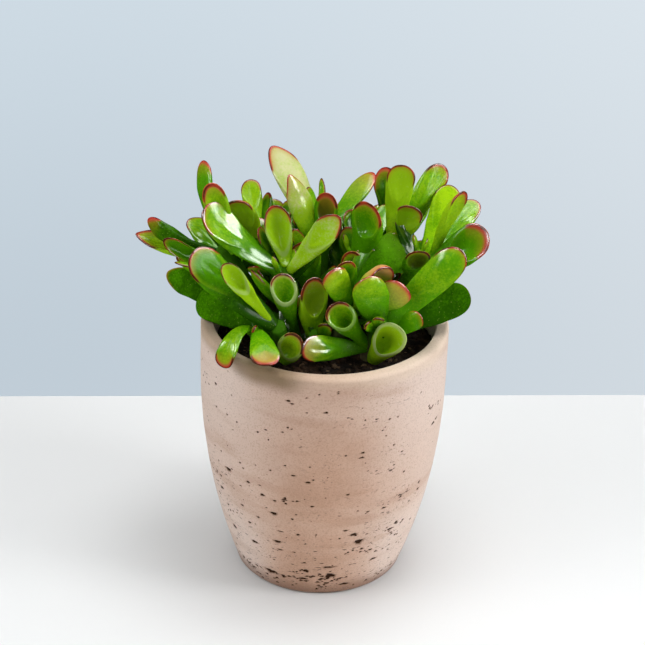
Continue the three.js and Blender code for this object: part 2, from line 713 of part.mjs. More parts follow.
// A shape in the plant's place, with its box for finding neighbours.
function blockerFrom(geometry) {
  geometry.computeBoundingBox();
  return { solid: solidFrom(grown(geometry)), box: geometry.boundingBox.clone().expandByScalar(GAP) };
}

function neighboursOf(geometry, blockers) {
  geometry.computeBoundingBox();
  return blockers.filter(({ box }) => box.intersectsBox(geometry.boundingBox)).map(({ solid }) => solid);
}

const plantInPot = new THREE.Group();
const potShape = potGeometry();
const soilShape = soilGeometry();
plantInPot.add(pieceMesh("pot", potShape, POT_MATERIAL));
plantInPot.add(pieceMesh("soil", soilShape, SOIL_MATERIAL));
const ground = [blockerFrom(potShape), blockerFrom(soilShape)];

// Every shoot is worked out in the plant's place first: its stem, and its leaves as they grow.
const shoots = SHOOTS.map((shoot) => {
  const stemShape = stemGeometry(shoot);
  const grow = (leaf, mesh) => {
    const place = placeLeaf(shoot, leaf);
    const matrix = new THREE.Matrix4().compose(place.root, place.quaternion, new THREE.Vector3(1, 1, 1));
    return { ...place, leaf, matrix, shape: leafGeometry(leaf, mesh).applyMatrix4(matrix) };
  };
  return {
    shoot,
    stemShape,
    blocker: blockerFrom(stemShape),
    leaves: shoot.leaves.map((leaf) => grow(leaf, LEAF_MESH)),
    smallLeaves: shoot.smallLeaves.map((leaf) => grow(leaf, SMALL_LEAF_MESH)),
  };
});

// The larger leaves keep clear of the pot, of every stem and of the larger leaves before them.
const blockers = [...ground, ...shoots.map(({ blocker }) => blocker)];
for (const grownShoot of shoots) {
  for (const piece of grownShoot.leaves) {
    piece.solid = cutClear(solidFrom(piece.shape), neighboursOf(piece.shape, blockers));
    blockers.push(blockerFrom(piece.shape));
  }
}

// A stem takes its small leaves, cut clear of the other stems, of the larger leaves and of the small leaves
// that the shoots before it took.
for (const grownShoot of shoots) {
  const others = blockers.filter((blocker) => blocker !== grownShoot.blocker);
  let joined = cutClear(solidFrom(grownShoot.stemShape), neighboursOf(grownShoot.stemShape, ground));
  for (const piece of grownShoot.smallLeaves) {
    joined = joined.add(cutClear(solidFrom(piece.shape), neighboursOf(piece.shape, others)));
    blockers.push(blockerFrom(piece.shape));
  }
  grownShoot.stemSolid = cutClear(joined, []);
}

// Each shoot is a group at its stem's foot, and each leaf is placed by its own root and turn.
for (const { shoot, stemSolid, leaves } of shoots) {
  const group = new THREE.Group();
  group.position.set(shoot.foot[0], shoot.foot[1], SOIL_LEVEL);
  plantInPot.add(group);
  const stemGeometryHere = geometryFrom(stemSolid).translate(-shoot.foot[0], -shoot.foot[1], -SOIL_LEVEL);
  group.add(pieceMesh(`stem_${shoot.name}`, stemGeometryHere, STEM_MATERIAL));
  leaves.forEach((piece, number) => {
    const look = piece.leaf.young ? YOUNG_LEAF_MATERIAL : LEAF_MATERIAL;
    const geometry = geometryFrom(piece.solid).applyMatrix4(piece.matrix.clone().invert());
    const mesh = pieceMesh(`leaf_${shoot.name}_${number + 1}`, geometry, look);
    mesh.quaternion.copy(piece.quaternion);
    mesh.position.copy(piece.root).sub(group.position);
    group.add(mesh);
  });
}

export default plantInPot;
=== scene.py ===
import math
import random

import bpy
import numpy as np
from mathutils import Matrix, Quaternion, Vector, noise


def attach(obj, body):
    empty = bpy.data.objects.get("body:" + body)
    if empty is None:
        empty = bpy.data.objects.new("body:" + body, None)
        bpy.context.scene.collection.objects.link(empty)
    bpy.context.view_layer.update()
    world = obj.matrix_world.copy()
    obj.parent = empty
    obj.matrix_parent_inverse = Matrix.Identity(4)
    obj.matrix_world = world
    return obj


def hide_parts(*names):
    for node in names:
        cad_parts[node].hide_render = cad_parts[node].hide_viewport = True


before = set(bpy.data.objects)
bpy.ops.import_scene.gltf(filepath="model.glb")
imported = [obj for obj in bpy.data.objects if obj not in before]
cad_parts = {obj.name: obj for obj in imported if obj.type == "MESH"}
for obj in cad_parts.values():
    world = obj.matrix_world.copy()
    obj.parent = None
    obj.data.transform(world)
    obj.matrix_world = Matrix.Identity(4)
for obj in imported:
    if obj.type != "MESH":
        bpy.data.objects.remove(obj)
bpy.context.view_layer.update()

# --- The photograph's viewpoint ----------------------------------------------------------------------------
# The camera looks down at the plant from 28 degrees above the table, a metre away, and is held a little
# askew. Leaves that show in the photograph are placed by the pixel of their tip, so this comes first.

MM = 0.001
VIEW_TARGET = Vector((-1.3, 0, 142)) * MM
VIEW_DISTANCE = 1051 * MM
VIEW_ELEVATION = math.radians(28)
VIEW_ROLL = math.radians(1.7)
FOCAL_PIXELS = 2000
PICTURE_PIXELS = 645
SENSOR_WIDTH = 36  # millimetres, as Blender's camera takes it

towards_viewer = Vector((0, -math.cos(VIEW_ELEVATION), math.sin(VIEW_ELEVATION)))
view_turn = Quaternion(towards_viewer, VIEW_ROLL)
view_right = view_turn @ Vector((1, 0, 0))
view_up = view_turn @ towards_viewer.cross(Vector((1, 0, 0)))
eye = VIEW_TARGET + VIEW_DISTANCE * towards_viewer

camera_data = bpy.data.cameras.new("camera")
camera_data.sensor_width = SENSOR_WIDTH
camera_data.lens = FOCAL_PIXELS / PICTURE_PIXELS * SENSOR_WIDTH
camera = bpy.data.objects.new("camera", camera_data)
camera.matrix_world = Matrix((view_right, view_up, towards_viewer)).transposed().to_4x4()
camera.location = eye
bpy.context.scene.collection.objects.link(camera)
bpy.context.scene.camera = camera
bpy.context.scene.view_settings.view_transform = "Standard"


def sight_direction(pixel):
    """The direction from the viewer's eye through a pixel of the photograph."""
    centre = PICTURE_PIXELS / 2
    across = (pixel[0] - centre) / FOCAL_PIXELS
    upwards = (centre - pixel[1]) / FOCAL_PIXELS
    return (across * view_right + upwards * view_up - towards_viewer).normalized()


# --- The table, the wall and the light ---------------------------------------------------------------------
# A plain pale table ends a little behind the pot, with a pale wall far beyond it. The wall is darker
# low down, as painted shade, and lighter towards the right, as painted light. Soft lamps stand at the right,
# above and at the left, and the bright room lights the rest. Six more lamps give only highlights.

TABLE_BACK_EDGE = 170 * MM
TABLE_LENGTH = 1400 * MM
TABLE_HALF_WIDTH = 1600 * MM
TABLE_THICKNESS = 30 * MM
TABLE_CHAMFER = 1.5 * MM
TABLE_TURN = math.radians(3.6)
TABLE_COLOUR = (0.72, 0.725, 0.725, 1)
WALL_RADIUS = 1700 * MM
WALL_HALF_HEIGHT = 3000 * MM
WALL_SIDES = 96
WALL_HIGH = (0.64, 0.73, 0.80, 1)
WALL_LIT = (1.0, 1.0, 1.0, 1)
WALL_LOW_SHADE = (0.53, 0.61, 0.68, 1)
ROOM_COLOUR = (0.95, 0.98, 1.0, 1)
ROOM_STRENGTH = 0.62
LAMP_TARGET = Vector((0, 0, 120)) * MM


class Value:
    """A number that varies over a surface: one output of a node. Sums on it add Math nodes."""

    def __init__(self, finish, socket):
        self.finish = finish
        self.socket = socket

    def sum_of(self, operation, *terms):
        return self.finish.add("ShaderNodeMath", {"operation": operation}, dict(enumerate(terms)))

    def __add__(self, other):
        return self.sum_of("ADD", self, other)

    def __sub__(self, other):
        return self.sum_of("SUBTRACT", self, other)

    def __rsub__(self, other):
        return self.sum_of("SUBTRACT", other, self)

    def __mul__(self, other):
        return self.sum_of("MULTIPLY", self, other)

    def __truediv__(self, other):
        return self.sum_of("DIVIDE", self, other)

    def __abs__(self):
        return self.sum_of("ABSOLUTE", self)

    __radd__ = __add__
    __rmul__ = __mul__


class Finish:
    """A material: a principled shader, and the nodes that colour it."""

    def __init__(self, name, constants):
        self.material = bpy.data.materials.new(name)
        self.material.use_nodes = True
        self.tree = self.material.node_tree
        self.shader = self.tree.nodes["Principled BSDF"]
        self.feed(self.shader, constants)

    def feed(self, node, inputs):
        for name, value in inputs.items():
            if isinstance(value, Value):
                self.tree.links.new(value.socket, node.inputs[name])
            else:
                node.inputs[name].default_value = value

    def add(self, kind, settings, inputs, output=0):
        """A node of this kind, as the value of one of its outputs."""
        node = self.tree.nodes.new(kind)
        for name, value in settings.items():
            setattr(node, name, value)
        self.feed(node, inputs)
        return Value(self, node.outputs[output])

    def place(self, stretch=(1, 1, 1)):
        """Where a point of the surface is, in metres, stretched along each axis."""
        spot = self.add("ShaderNodeTexCoord", {}, {}, "Object")
        return self.add("ShaderNodeVectorMath", {"operation": "MULTIPLY"}, {0: spot, 1: stretch})

    def axis(self, letter):
        """How far along one axis a point of the surface lies, in metres."""
        return self.add("ShaderNodeSeparateXYZ", {}, {0: self.place()}, letter)

    def noise(self, scale, detail, stretch=(1, 1, 1)):
        inputs = {"Vector": self.place(stretch), "Scale": scale, "Detail": detail}
        return self.add("ShaderNodeTexNoise", {}, inputs, "Fac")

    def dots(self, scale, stretch=(1, 1, 1)):
        """How far the nearest of many scattered dots is, with their spacing as 1."""
        inputs = {"Vector": self.place(stretch), "Scale": scale}
        return self.add("ShaderNodeTexVoronoi", {}, inputs, "Distance")

    def ramp(self, value, low, high):
        """From 0 at low to 1 at high, with soft ends."""
        settings = {"interpolation_type": "SMOOTHSTEP"}
        return self.add("ShaderNodeMapRange", settings, {"Value": value, "From Min": low, "From Max": high})

    def mixed(self, share, first, second):
        """One colour turning into another as share goes from 0 to 1."""
        return self.add("ShaderNodeMix", {"data_type": "RGBA"}, {0: share, 6: first, 7: second}, 2)

    def coated(self, colour, coats):
        """A colour under coats of others, each with the share of what lies below that it covers."""
        for share, coat in coats:
            colour = self.mixed(share, colour, coat)
        return colour

    def mark(self, name):
        """A value that the mesh carries."""
        return self.add("ShaderNodeAttribute", {"attribute_name": name}, {}, "Fac")

    def bump(self, height, distance, strength):
        """A normal that makes a height stand out from the surface by up to so many metres."""
        return self.add("ShaderNodeBump", {}, {"Height": height, "Distance": distance, "Strength": strength})


def add_band(name, lower, upper, finish):
    """A plain surface between two closed rows of corners."""
    count = len(lower)
    faces = [(i, (i + 1) % count, count + (i + 1) % count, count + i) for i in range(count)]
    mesh = bpy.data.meshes.new(name)
    mesh.from_pydata(lower + upper, [], faces)
    mesh.materials.append(finish.material)
    made = bpy.data.objects.new(name, mesh)
    bpy.context.scene.collection.objects.link(made)
    return made


table_finish = Finish("pale_table", {"Base Color": TABLE_COLOUR, "Roughness": 0.6})
table_profile = [
    (-TABLE_LENGTH, -TABLE_THICKNESS), (0, -TABLE_THICKNESS), (0, -TABLE_CHAMFER), (-TABLE_CHAMFER, 0),
    (-TABLE_LENGTH, 0),
]
table_ends = [[(x, y, z) for y, z in table_profile] for x in (-TABLE_HALF_WIDTH, TABLE_HALF_WIDTH)]
table = add_band("table", *table_ends, table_finish)
table.matrix_world = Matrix.Translation((0, TABLE_BACK_EDGE, 0)) @ Matrix.Rotation(TABLE_TURN, 4, "Z")
table.visible_glossy = False

wall_finish = Finish("pale_wall", {
    "Base Color": (0, 0, 0, 1), "Specular IOR Level": 0.0, "Emission Strength": 1.0,
})
# The wall's colour: painted shade low down and painted light towards the right.
wall_colour = wall_finish.coated(WALL_LOW_SHADE, [
    (wall_finish.ramp(wall_finish.axis("Z"), -0.85, 0.0), WALL_HIGH),
    (wall_finish.ramp(wall_finish.axis("X"), -0.45, 0.75) * 0.25, WALL_LIT),
])
wall_finish.feed(wall_finish.shader, {"Emission Color": wall_colour})
wall_turns = [2 * math.pi * side / WALL_SIDES for side in range(WALL_SIDES)]
wall_edges = [
    [(WALL_RADIUS * math.cos(turn), WALL_RADIUS * math.sin(turn), height) for turn in wall_turns]
    for height in (-WALL_HALF_HEIGHT, WALL_HALF_HEIGHT)
]
wall = add_band("wall", *wall_edges, wall_finish)
wall.visible_diffuse = wall.visible_glossy = wall.visible_shadow = False

room = bpy.data.worlds.new("room")
room.use_nodes = True
room.node_tree.nodes["Background"].inputs["Color"].default_value = ROOM_COLOUR
room.node_tree.nodes["Background"].inputs["Strength"].default_value = ROOM_STRENGTH
room.cycles_visibility.glossy = False
bpy.context.scene.world = room


def add_lamp(name, place, size, power, only_gloss=False):
    """A square soft lamp that is aimed at the plant, with its place and size in metres. One of only gloss
    shows as a highlight in glossy skin, and lights nothing else."""
    data = bpy.data.lights.new(name, "AREA")
    data.size = size
    data.energy = power
    lamp = bpy.data.objects.new(name, data)
    lamp.location = place
    lamp.rotation_euler = (LAMP_TARGET - lamp.location).to_track_quat("-Z", "Y").to_euler()
    lamp.visible_camera = False
    lamp.visible_diffuse = not only_gloss
    bpy.context.scene.collection.objects.link(lamp)


add_lamp("side_lamp", (0.95, -0.30, 0.62), 0.34, 5.2)
add_lamp("top_lamp", (0.08, 0.05, 1.10), 0.34, 4.2)
add_lamp("window", (0.72, -0.20, 0.95), 0.74, 50, only_gloss=True)
add_lamp("low_window", (0.93, -0.36, 0.20), 0.26, 5, only_gloss=True)
add_lamp("front_window", (0.75, -0.75, 0.55), 0.36, 9, only_gloss=True)
add_lamp("high_window", (-0.10, -0.70, 1.10), 0.30, 6, only_gloss=True)
add_lamp("far_window", (-0.85, -0.35, 0.75), 0.50, 3.4)
add_lamp("sky_light", (0.05, 0.40, 1.15), 0.60, 9, only_gloss=True)
add_lamp("left_window", (-0.75, -0.20, 0.90), 0.40, 14, only_gloss=True)


# --- The pot -----------------------------------------------------------------------------------------------
# A tapered round pot, cast in rose-brown concrete in one piece with a thick wall and a rounded rim. Air
# trapped against the mould has left pits in its outside, strung out in level streaks and denser low down.

RIM_RADIUS = 65 * MM
BASE_RADIUS = 44.5 * MM
POT_HEIGHT = 144 * MM
SHOULDER_HEIGHT = 118 * MM
POT_SWELL = 2.1
WALL_THICKNESS = 7 * MM
FLOOR_THICKNESS = 8 * MM
BASE_ROUNDING = 3 * MM
RIM_ROUNDING = 2.4 * MM
MOUTH_ROUNDING = 1.3 * MM
POT_SIDES = 640
BASE_RINGS = 4
FOOT_RINGS = 5
POT_OUTSIDE_RINGS = 262
RIM_RINGS = 7
POT_INSIDE_RINGS = 13

CONCRETE = (0.53, 0.335, 0.240, 1)
CONCRETE_DARK = (0.48, 0.295, 0.205, 1)
CONCRETE_PALE = (0.60, 0.43, 0.335, 1)
GRAIN_DARK = (0.30, 0.18, 0.12, 1)
RIM_SHADE = (0.38, 0.265, 0.175, 1)
RIM_LIT = (0.68, 0.54, 0.40, 1)
RIM_LEAF_SHADOW = (0.17, 0.115, 0.055, 1)
SMEAR_BROWN = (0.40, 0.235, 0.155, 1)
PIT_SHADE = (0.022, 0.007, 0.002, 1)
PIT_EDGE = (0.20, 0.105, 0.065, 1)
FOOT_SHADE = (0.17, 0.09, 0.06, 1)
PAINTED_SHEEN_TONE = (0.66, 0.53, 0.46, 1)

# How far to the side of the pot's middle the two drooping leaves touch its rim and cast a painted shadow.
TOUCH_SIDE = -27 * MM

# The larger pits that the photograph shows: the pixel, and the pit's length and height in millimetres.
LARGE_PITS = [
    ((271, 571), 6.0, 2.3), ((330, 576), 4.6, 2.8), ((329, 567.5), 5.2, 1.0), ((359, 542), 4.0, 2.6),
    ((354, 535), 3.4, 1.5), ((362, 549), 2.0, 1.0), ((346, 531), 2.2, 0.9), ((277.5, 541.5), 3.6, 1.4),
    ((273.5, 513.5), 4.2, 1.8), ((258, 517), 2.0, 1.0), ((284.5, 500), 3.0, 1.0), ((228.5, 469), 4.4, 2.0),
    ((348, 495), 1.8, 1.1), ((410, 519), 1.6, 1.4), ((288, 401), 2.6, 1.0), ((292, 404), 2.0, 0.9),
    ((326, 413), 2.4, 1.0), ((433, 423), 3.4, 1.4), ((436, 418), 3.0, 1.2), ((363, 453), 2.4, 1.0),
    ((362, 458), 3.0, 1.0), ((346, 456), 1.6, 0.8), ((308, 483), 2.6, 1.2), ((312, 507), 1.8, 1.1),
    ((298, 535), 1.8, 1.0), ((235, 526), 2.6, 1.8), ((255, 541.5), 3.6, 1.3), ((280, 549.5), 2.8, 0.8),
    ((373, 559), 3.4, 1.2), ((302.5, 578.5), 4.2, 1.2), ((344, 584), 5.2, 1.2), ((318.5, 585.5), 1.6, 0.9),
    ((293, 476), 2.6, 0.8), ((283, 575.5), 1.8, 1.2), ((280.5, 531.5), 2.8, 0.7), ((242.5, 505), 2.0, 1.1),
    ((222.5, 487), 3.6, 1.4), ((384, 508), 2.4, 1.1), ((368, 512), 1.8, 1.0), ((390, 529), 3.2, 1.1),
    ((404, 471.5), 1.4, 1.0), ((262.5, 495), 3.0, 1.4), ((248, 482), 2.2, 1.3), ((287.5, 428), 1.2, 1.0),
    ((236.5, 422), 1.2, 1.0), ((227, 414.5), 1.4, 0.9), ((265.5, 430), 1.6, 0.8), ((219, 460), 1.4, 1.0),
    ((240, 462.5), 1.4, 0.9), ((417.5, 488.5), 2.4, 1.4), ((268, 440), 1.1, 0.8), ((310, 467.5), 1.1, 0.9),
    ((383, 430.5), 1.2, 0.7), ((402, 451.5), 1.3, 0.7), ((270, 470.5), 1.3, 0.8), ((319.5, 395), 1.2, 0.7),
]

# A pit's edge is soft, so its half sizes are a little over half of these, and more so for the coarse pits
# that lie below a row of the picture. Its depth is a share of its height.
HIGH_PIT_SIZE = 0.52
LOW_PIT_SIZE = 0.62
LOW_PIT_ROW = 520
PIT_DEPTH = 0.35
STREAK_COUNT = 62
LOOSE_PIT_COUNT = 420


def outside_radius(height):
    """The pot's outside radius at a height: it swells less and less towards the shoulder."""
    share = np.minimum(1, height / SHOULDER_HEIGHT)
    return BASE_RADIUS + (RIM_RADIUS - BASE_RADIUS) * (1 - (1 - share) ** POT_SWELL)


def soft_step(value, low, high):
    """From 0 at low to 1 at high, with soft ends."""
    share = np.clip((value - low) / (high - low), 0, 1)
    return share * share * (3 - 2 * share)


def skin(rings, first, last, marks):
    """A closed skin through rings of points, with a point at each end: its points, faces, map and marks."""
    count, sides = rings.shape[:2]
    points = np.concatenate([[first], rings.reshape(-1, 3), [last]])
    steps = np.linalg.norm(np.diff(rings, axis=0), axis=2).mean(1)
    ends = [np.linalg.norm(rings[0] - first, axis=1).mean(), np.linalg.norm(rings[-1] - last, axis=1).mean()]
    lengthwise = np.concatenate([[0], np.cumsum(np.concatenate([ends[:1], steps, ends[1:]]))])
    lengthwise = lengthwise / lengthwise[-1]
    ring, side = np.meshgrid(np.arange(count - 1), np.arange(sides), indexing="ij")
    ring, side = ring.ravel(), side.ravel()
    after = (side + 1) % sides
    near, far = 1 + ring * sides, 1 + (ring + 1) * sides
    quads = np.stack([near + side, near + after, far + after, far + side], 1)
    left, right = side / sides, (side + 1) / sides
    low, high = lengthwise[ring + 1], lengthwise[ring + 2]
    quad_map = np.stack([left, low, right, low, right, high, left, high], 1).reshape(-1, 4, 2)
    side = np.arange(sides)
    after = (side + 1) % sides
    final = len(points) - 1
    start_fan = np.stack([np.zeros(sides, int), 1 + after, 1 + side], 1)
    end_fan = np.stack([final - sides + side, final - sides + after, np.full(sides, final)], 1)
    left, right = side / sides, (side + 1) / sides
    middle = (left + right) / 2
    flat = np.ones(sides)
    start_map = np.stack([middle, 0 * flat, right, lengthwise[1] * flat, left, lengthwise[1] * flat], 1)
    end_map = np.stack([left, lengthwise[-2] * flat, right, lengthwise[-2] * flat, middle, flat], 1)
    marked = {}
    for name, value in marks.items():
        over = np.broadcast_to(value, (count, sides))
        marked[name] = np.concatenate([[over[0].mean()], over.ravel(), [over[-1].mean()]])
    return {
        "points": points,
        "quads": quads,
        "fans": np.concatenate([start_fan, end_fan]),
        "quad_map": quad_map,
        "fan_map": np.concatenate([start_map, end_map]).reshape(-1, 3, 2),
        "marks": marked,
    }


def add_piece(name, skins, finish):
    """One object made of one or more closed skins, with their maps side by side."""
    corners, starts, places, offset = [], [], [], 0
    width = 1 / len(skins)
    for number, one in enumerate(skins):
        for faces, uv in ((one["quads"], one["quad_map"]), (one["fans"], one["fan_map"])):
            corners.append((faces + offset).ravel())
            starts.append(np.full(len(faces), faces.shape[1]))
            across = number * width + (0.01 + 0.98 * uv[..., 0]) * width
            places.append(np.stack([across, uv[..., 1]], -1).reshape(-1, 2))
        offset += len(one["points"])
    points = np.concatenate([one["points"] for one in skins])
    corners, sizes, places = np.concatenate(corners), np.concatenate(starts), np.concatenate(places)
    mesh = bpy.data.meshes.new(name)
    mesh.vertices.add(len(points))
    mesh.vertices.foreach_set("co", points.astype(np.float32).ravel())
    mesh.loops.add(len(corners))
    mesh.loops.foreach_set("vertex_index", corners.astype(np.int32))
    mesh.polygons.add(len(sizes))
    mesh.polygons.foreach_set("loop_start", (np.cumsum(sizes) - sizes).astype(np.int32))
    mesh.update(calc_edges=True)
    mesh.shade_smooth()
    mesh.uv_layers.new(name="OFBake").uv.foreach_set("vector", places.astype(np.float32).ravel())
    for mark in skins[0]["marks"]:
        values = np.concatenate([one["marks"][mark] for one in skins])
        mesh.attributes.new(mark, "FLOAT", "POINT").data.foreach_set("value", values.astype(np.float32))
    mesh.materials.append(finish.material)
    piece = bpy.data.objects.new(name, mesh)
    bpy.context.scene.collection.objects.link(piece)
    return piece


def quarter_round(radius, height, rounding, quarter, count):
    """A rounded edge of the profile about its middle. Quarter 0 faces out and up, and 1 faces in and up."""
    turns = math.pi / 2 * (quarter + np.linspace(0, 1, count))
    return [(radius + rounding * math.cos(turn), height + rounding * math.sin(turn)) for turn in turns]


def pot_profile():
    """Radii and heights from the middle of the base, up the outside, over the rim and down to the floor."""
    under = [(r, 0) for r in np.linspace(0.2, 0.93, BASE_RINGS) * BASE_RADIUS]
    foot_radius = outside_radius(BASE_ROUNDING) - BASE_ROUNDING
    foot = quarter_round(foot_radius, BASE_ROUNDING, BASE_ROUNDING, -1, FOOT_RINGS)
    heights = np.linspace(BASE_ROUNDING, POT_HEIGHT - RIM_ROUNDING, POT_OUTSIDE_RINGS)[1:]
    outside = [(outside_radius(h), h) for h in heights]
    rim = quarter_round(RIM_RADIUS - RIM_ROUNDING, POT_HEIGHT - RIM_ROUNDING, RIM_ROUNDING, 0, RIM_RINGS)[1:]
    mouth_radius = RIM_RADIUS - WALL_THICKNESS + MOUTH_ROUNDING
    mouth = quarter_round(mouth_radius, POT_HEIGHT - MOUTH_ROUNDING, MOUTH_ROUNDING, 1, RIM_RINGS)[1:]
    heights = np.linspace(POT_HEIGHT - MOUTH_ROUNDING, FLOOR_THICKNESS, POT_INSIDE_RINGS)[1:]
    inside = [(outside_radius(h) - WALL_THICKNESS, h) for h in heights]
    floor = [(r, FLOOR_THICKNESS) for r in np.linspace(0.9, 0.1, 3) * inside[-1][0]]
    return np.array(under + foot + outside + rim + mouth + inside + floor)


def seen_on_pot(pixel):
    """Where the line of sight through a pixel meets the pot's outside, found in steps towards it."""
    distance = 930 * MM
    for _ in range(40):
        spot = eye + distance * sight_direction(pixel)
        distance += 0.5 * (math.hypot(spot.x, spot.y) - float(outside_radius(spot.z)))
    return spot


def pit_places():
    """Each pit as its angle, height, half length, half height and depth."""
    pits = []
    for pixel, length, height in LARGE_PITS:
        spot = seen_on_pot(pixel)
        angle = math.atan2(spot.y, spot.x)
        size = LOW_PIT_SIZE if pixel[1] > LOW_PIT_ROW else HIGH_PIT_SIZE
        pits.append((angle, spot.z, size * length * MM, size * height * MM, PIT_DEPTH * height * MM))
    chance = random.Random(7)
    # Streaks: four to eleven pits each, strung out nearly level and mostly low down.
    for _ in range(STREAK_COUNT):
        angle = chance.uniform(-math.pi, math.pi)
        height = (7 + 116 * chance.random() ** 2.2) * MM
        spread = chance.uniform(0.10, 0.34)
        slope = chance.uniform(-5, 5) * MM
        for _ in range(chance.randint(4, 11)):
            share = chance.uniform(-1, 1)
            length = chance.uniform(0.7, 2.6) * MM
            pits.append((
                angle + spread * share, height + slope * share + chance.gauss(0, 1.1) * MM, length / 2,
                chance.uniform(0.22, 0.4) * min(length, 1.6 * MM), chance.uniform(0.3, 0.6) * MM,
            ))
    # Small pits by themselves, all round.
    for _ in range(LOOSE_PIT_COUNT):
        height = (4 + 134 * chance.random() ** 1.9) * MM
        length = chance.uniform(0.5, 1.7) * MM
        angle = chance.uniform(-math.pi, math.pi)
        pits.append((angle, height, length / 2, 0.27 * length, chance.uniform(0.2, 0.5) * MM))
    return pits


def pot_skin():
    """The cast pot with its pits sunk in, and marks that say how far a place lies in a pit or its edge."""
    profile = pot_profile()
    radius, height = profile[:, 0], profile[:, 1]
    angle = np.linspace(-math.pi, math.pi, POT_SIDES, endpoint=False)
    outside = np.arange(len(profile)) < BASE_RINGS + FOOT_RINGS + POT_OUTSIDE_RINGS - 1
    sunk, dark, brown = np.zeros((3, len(profile), POT_SIDES))
    for turn, level, half_length, half_height, depth in pit_places():
        rows = np.nonzero(outside & (np.abs(height - level) < 2 * half_height))[0]
        around = (angle - turn + math.pi) % (2 * math.pi) - math.pi
        across = around * float(outside_radius(level))
        columns = np.nonzero(np.abs(across) < 1.8 * half_length)[0]
        u = across[columns][None, :] / half_length
        v = (height[rows][:, None] - level) / half_height
        bearing = np.arctan2(v, u)
        ragged = 0.16 * np.sin(3 * bearing + 40 * turn) + 0.10 * np.sin(7 * bearing + 90 * turn)
        away = np.sqrt(u * u + v * v) * (1 + ragged)
        hole = 1 - soft_step(away, 0.45, 1.15)
        cells = np.ix_(rows, columns)
        sunk[cells] = np.maximum(sunk[cells], depth * hole)
        dark[cells] = np.maximum(dark[cells], hole)
        brown[cells] = np.maximum(brown[cells], 1 - soft_step(away, 0.7, 1.75))
    # The cast is not quite round, and swells and dips by a quarter of a millimetre.
    level = height[:, None]
    uneven = 0.25 * MM * (np.sin(2 * angle + 1.1) + 0.6 * np.sin(3 * angle + 40 * level + 0.4))
    uneven = uneven + 0.08 * MM * np.sin(9 * angle + 130 * level) * np.sin(210 * level + 2)
    uneven = uneven * soft_step(radius, 0.5 * BASE_RADIUS, BASE_RADIUS)[:, None] * 0.8
    wide = radius[:, None] + uneven - sunk
    rings = np.stack([wide * np.cos(angle), wide * np.sin(angle), np.broadcast_to(level, wide.shape)], -1)
    return skin(rings, (0, 0, 0), (0, 0, FLOOR_THICKNESS), {"pit": dark, "brown": brown})


concrete = Finish("rose_concrete", {
    "Specular IOR Level": 0.03,
    "Sheen Weight": 0.22,
    "Sheen Roughness": 0.35,
    "Sheen Tint": (1, 0.90, 0.83, 1),
})
level, sideways, backward = (concrete.axis(letter) for letter in "ZXY")
cloudy = concrete.noise(34, 4)
banded = concrete.noise(9, 3, (1, 1, 11))
smears = concrete.noise(15, 4, (1, 1, 6))
grain = concrete.noise(1150, 3)
sand = concrete.noise(620, 2)

# Painted sheen lies pale at both sides, and low down at the sides as a painted reflection of the table.
# The pot is paler below the rim too.
from_middle = abs(sideways)
painted_sheen = concrete.ramp(from_middle + (concrete.noise(22, 3) - 0.5) * 0.03, 0.006, 0.058) * 0.8
painted_sheen = painted_sheen + concrete.ramp(level + (cloudy - 0.5) * 0.02, 0.085, 0.135) * 0.3
painted_sheen = painted_sheen + concrete.ramp(from_middle, 0.018, 0.042) * (1 - concrete.ramp(level, 0.015, 0.070)) * 0.6

# The rim is darker at the left, as painted shade, and paler at the right, as painted light. Where the two
# drooping leaves touch it, their painted shadow lies on it.
near_rim = concrete.ramp(level + (cloudy - 0.5) * 0.012, 0.134, 0.1425)
shaded_rim = near_rim * concrete.ramp(0.02 - sideways, 0.0, 0.07)
lit_rim = near_rim * concrete.ramp(sideways + 0.03, 0.0, 0.06)
from_touch = abs(sideways - TOUCH_SIDE) + (cloudy - 0.5) * 0.012
leaf_shadow_on_rim = concrete.ramp(level + (cloudy - 0.5) * 0.006, 0.131, 0.140)
leaf_shadow_on_rim = leaf_shadow_on_rim * (1 - concrete.ramp(from_touch, 0.006, 0.022))
leaf_shadow_on_rim = leaf_shadow_on_rim * (1 - concrete.ramp(backward, -0.050, -0.040))
# The lowest 14 mm of the pot are painted darker: painted contact shade at the foot.
foot = 1 - concrete.ramp(level + (cloudy - 0.5) * 0.006, 0.000, 0.014)

# Pinholes and chips too small for the mesh lie in patches, denser low down. They and the mesh's own pits are
# painted near black with the shade inside the holes, and the pits have a browned edge.
pinhole_patches = concrete.ramp(concrete.noise(55, 3, (1, 1, 2.6)) - level * 1.1, 0.44, 0.60)
pinholes = (1 - concrete.ramp(concrete.dots(430, (1, 1, 2.3)), 0.10, 0.22)) * pinhole_patches
chip_patches = concrete.ramp(concrete.noise(28, 2, (1, 1, 2)) - level * 2.8, 0.22, 0.42)
chips = concrete.ramp(concrete.noise(260, 3, (1, 1, 3)), 0.63, 0.69) * chip_patches
pit_edges = concrete.ramp(concrete.mark("brown") + (sand - 0.5) * 0.9 + (grain - 0.5) * 0.6, 0.15, 0.9)
pits = concrete.ramp(concrete.mark("pit") + (sand - 0.5) * 0.5, 0.18, 0.62)

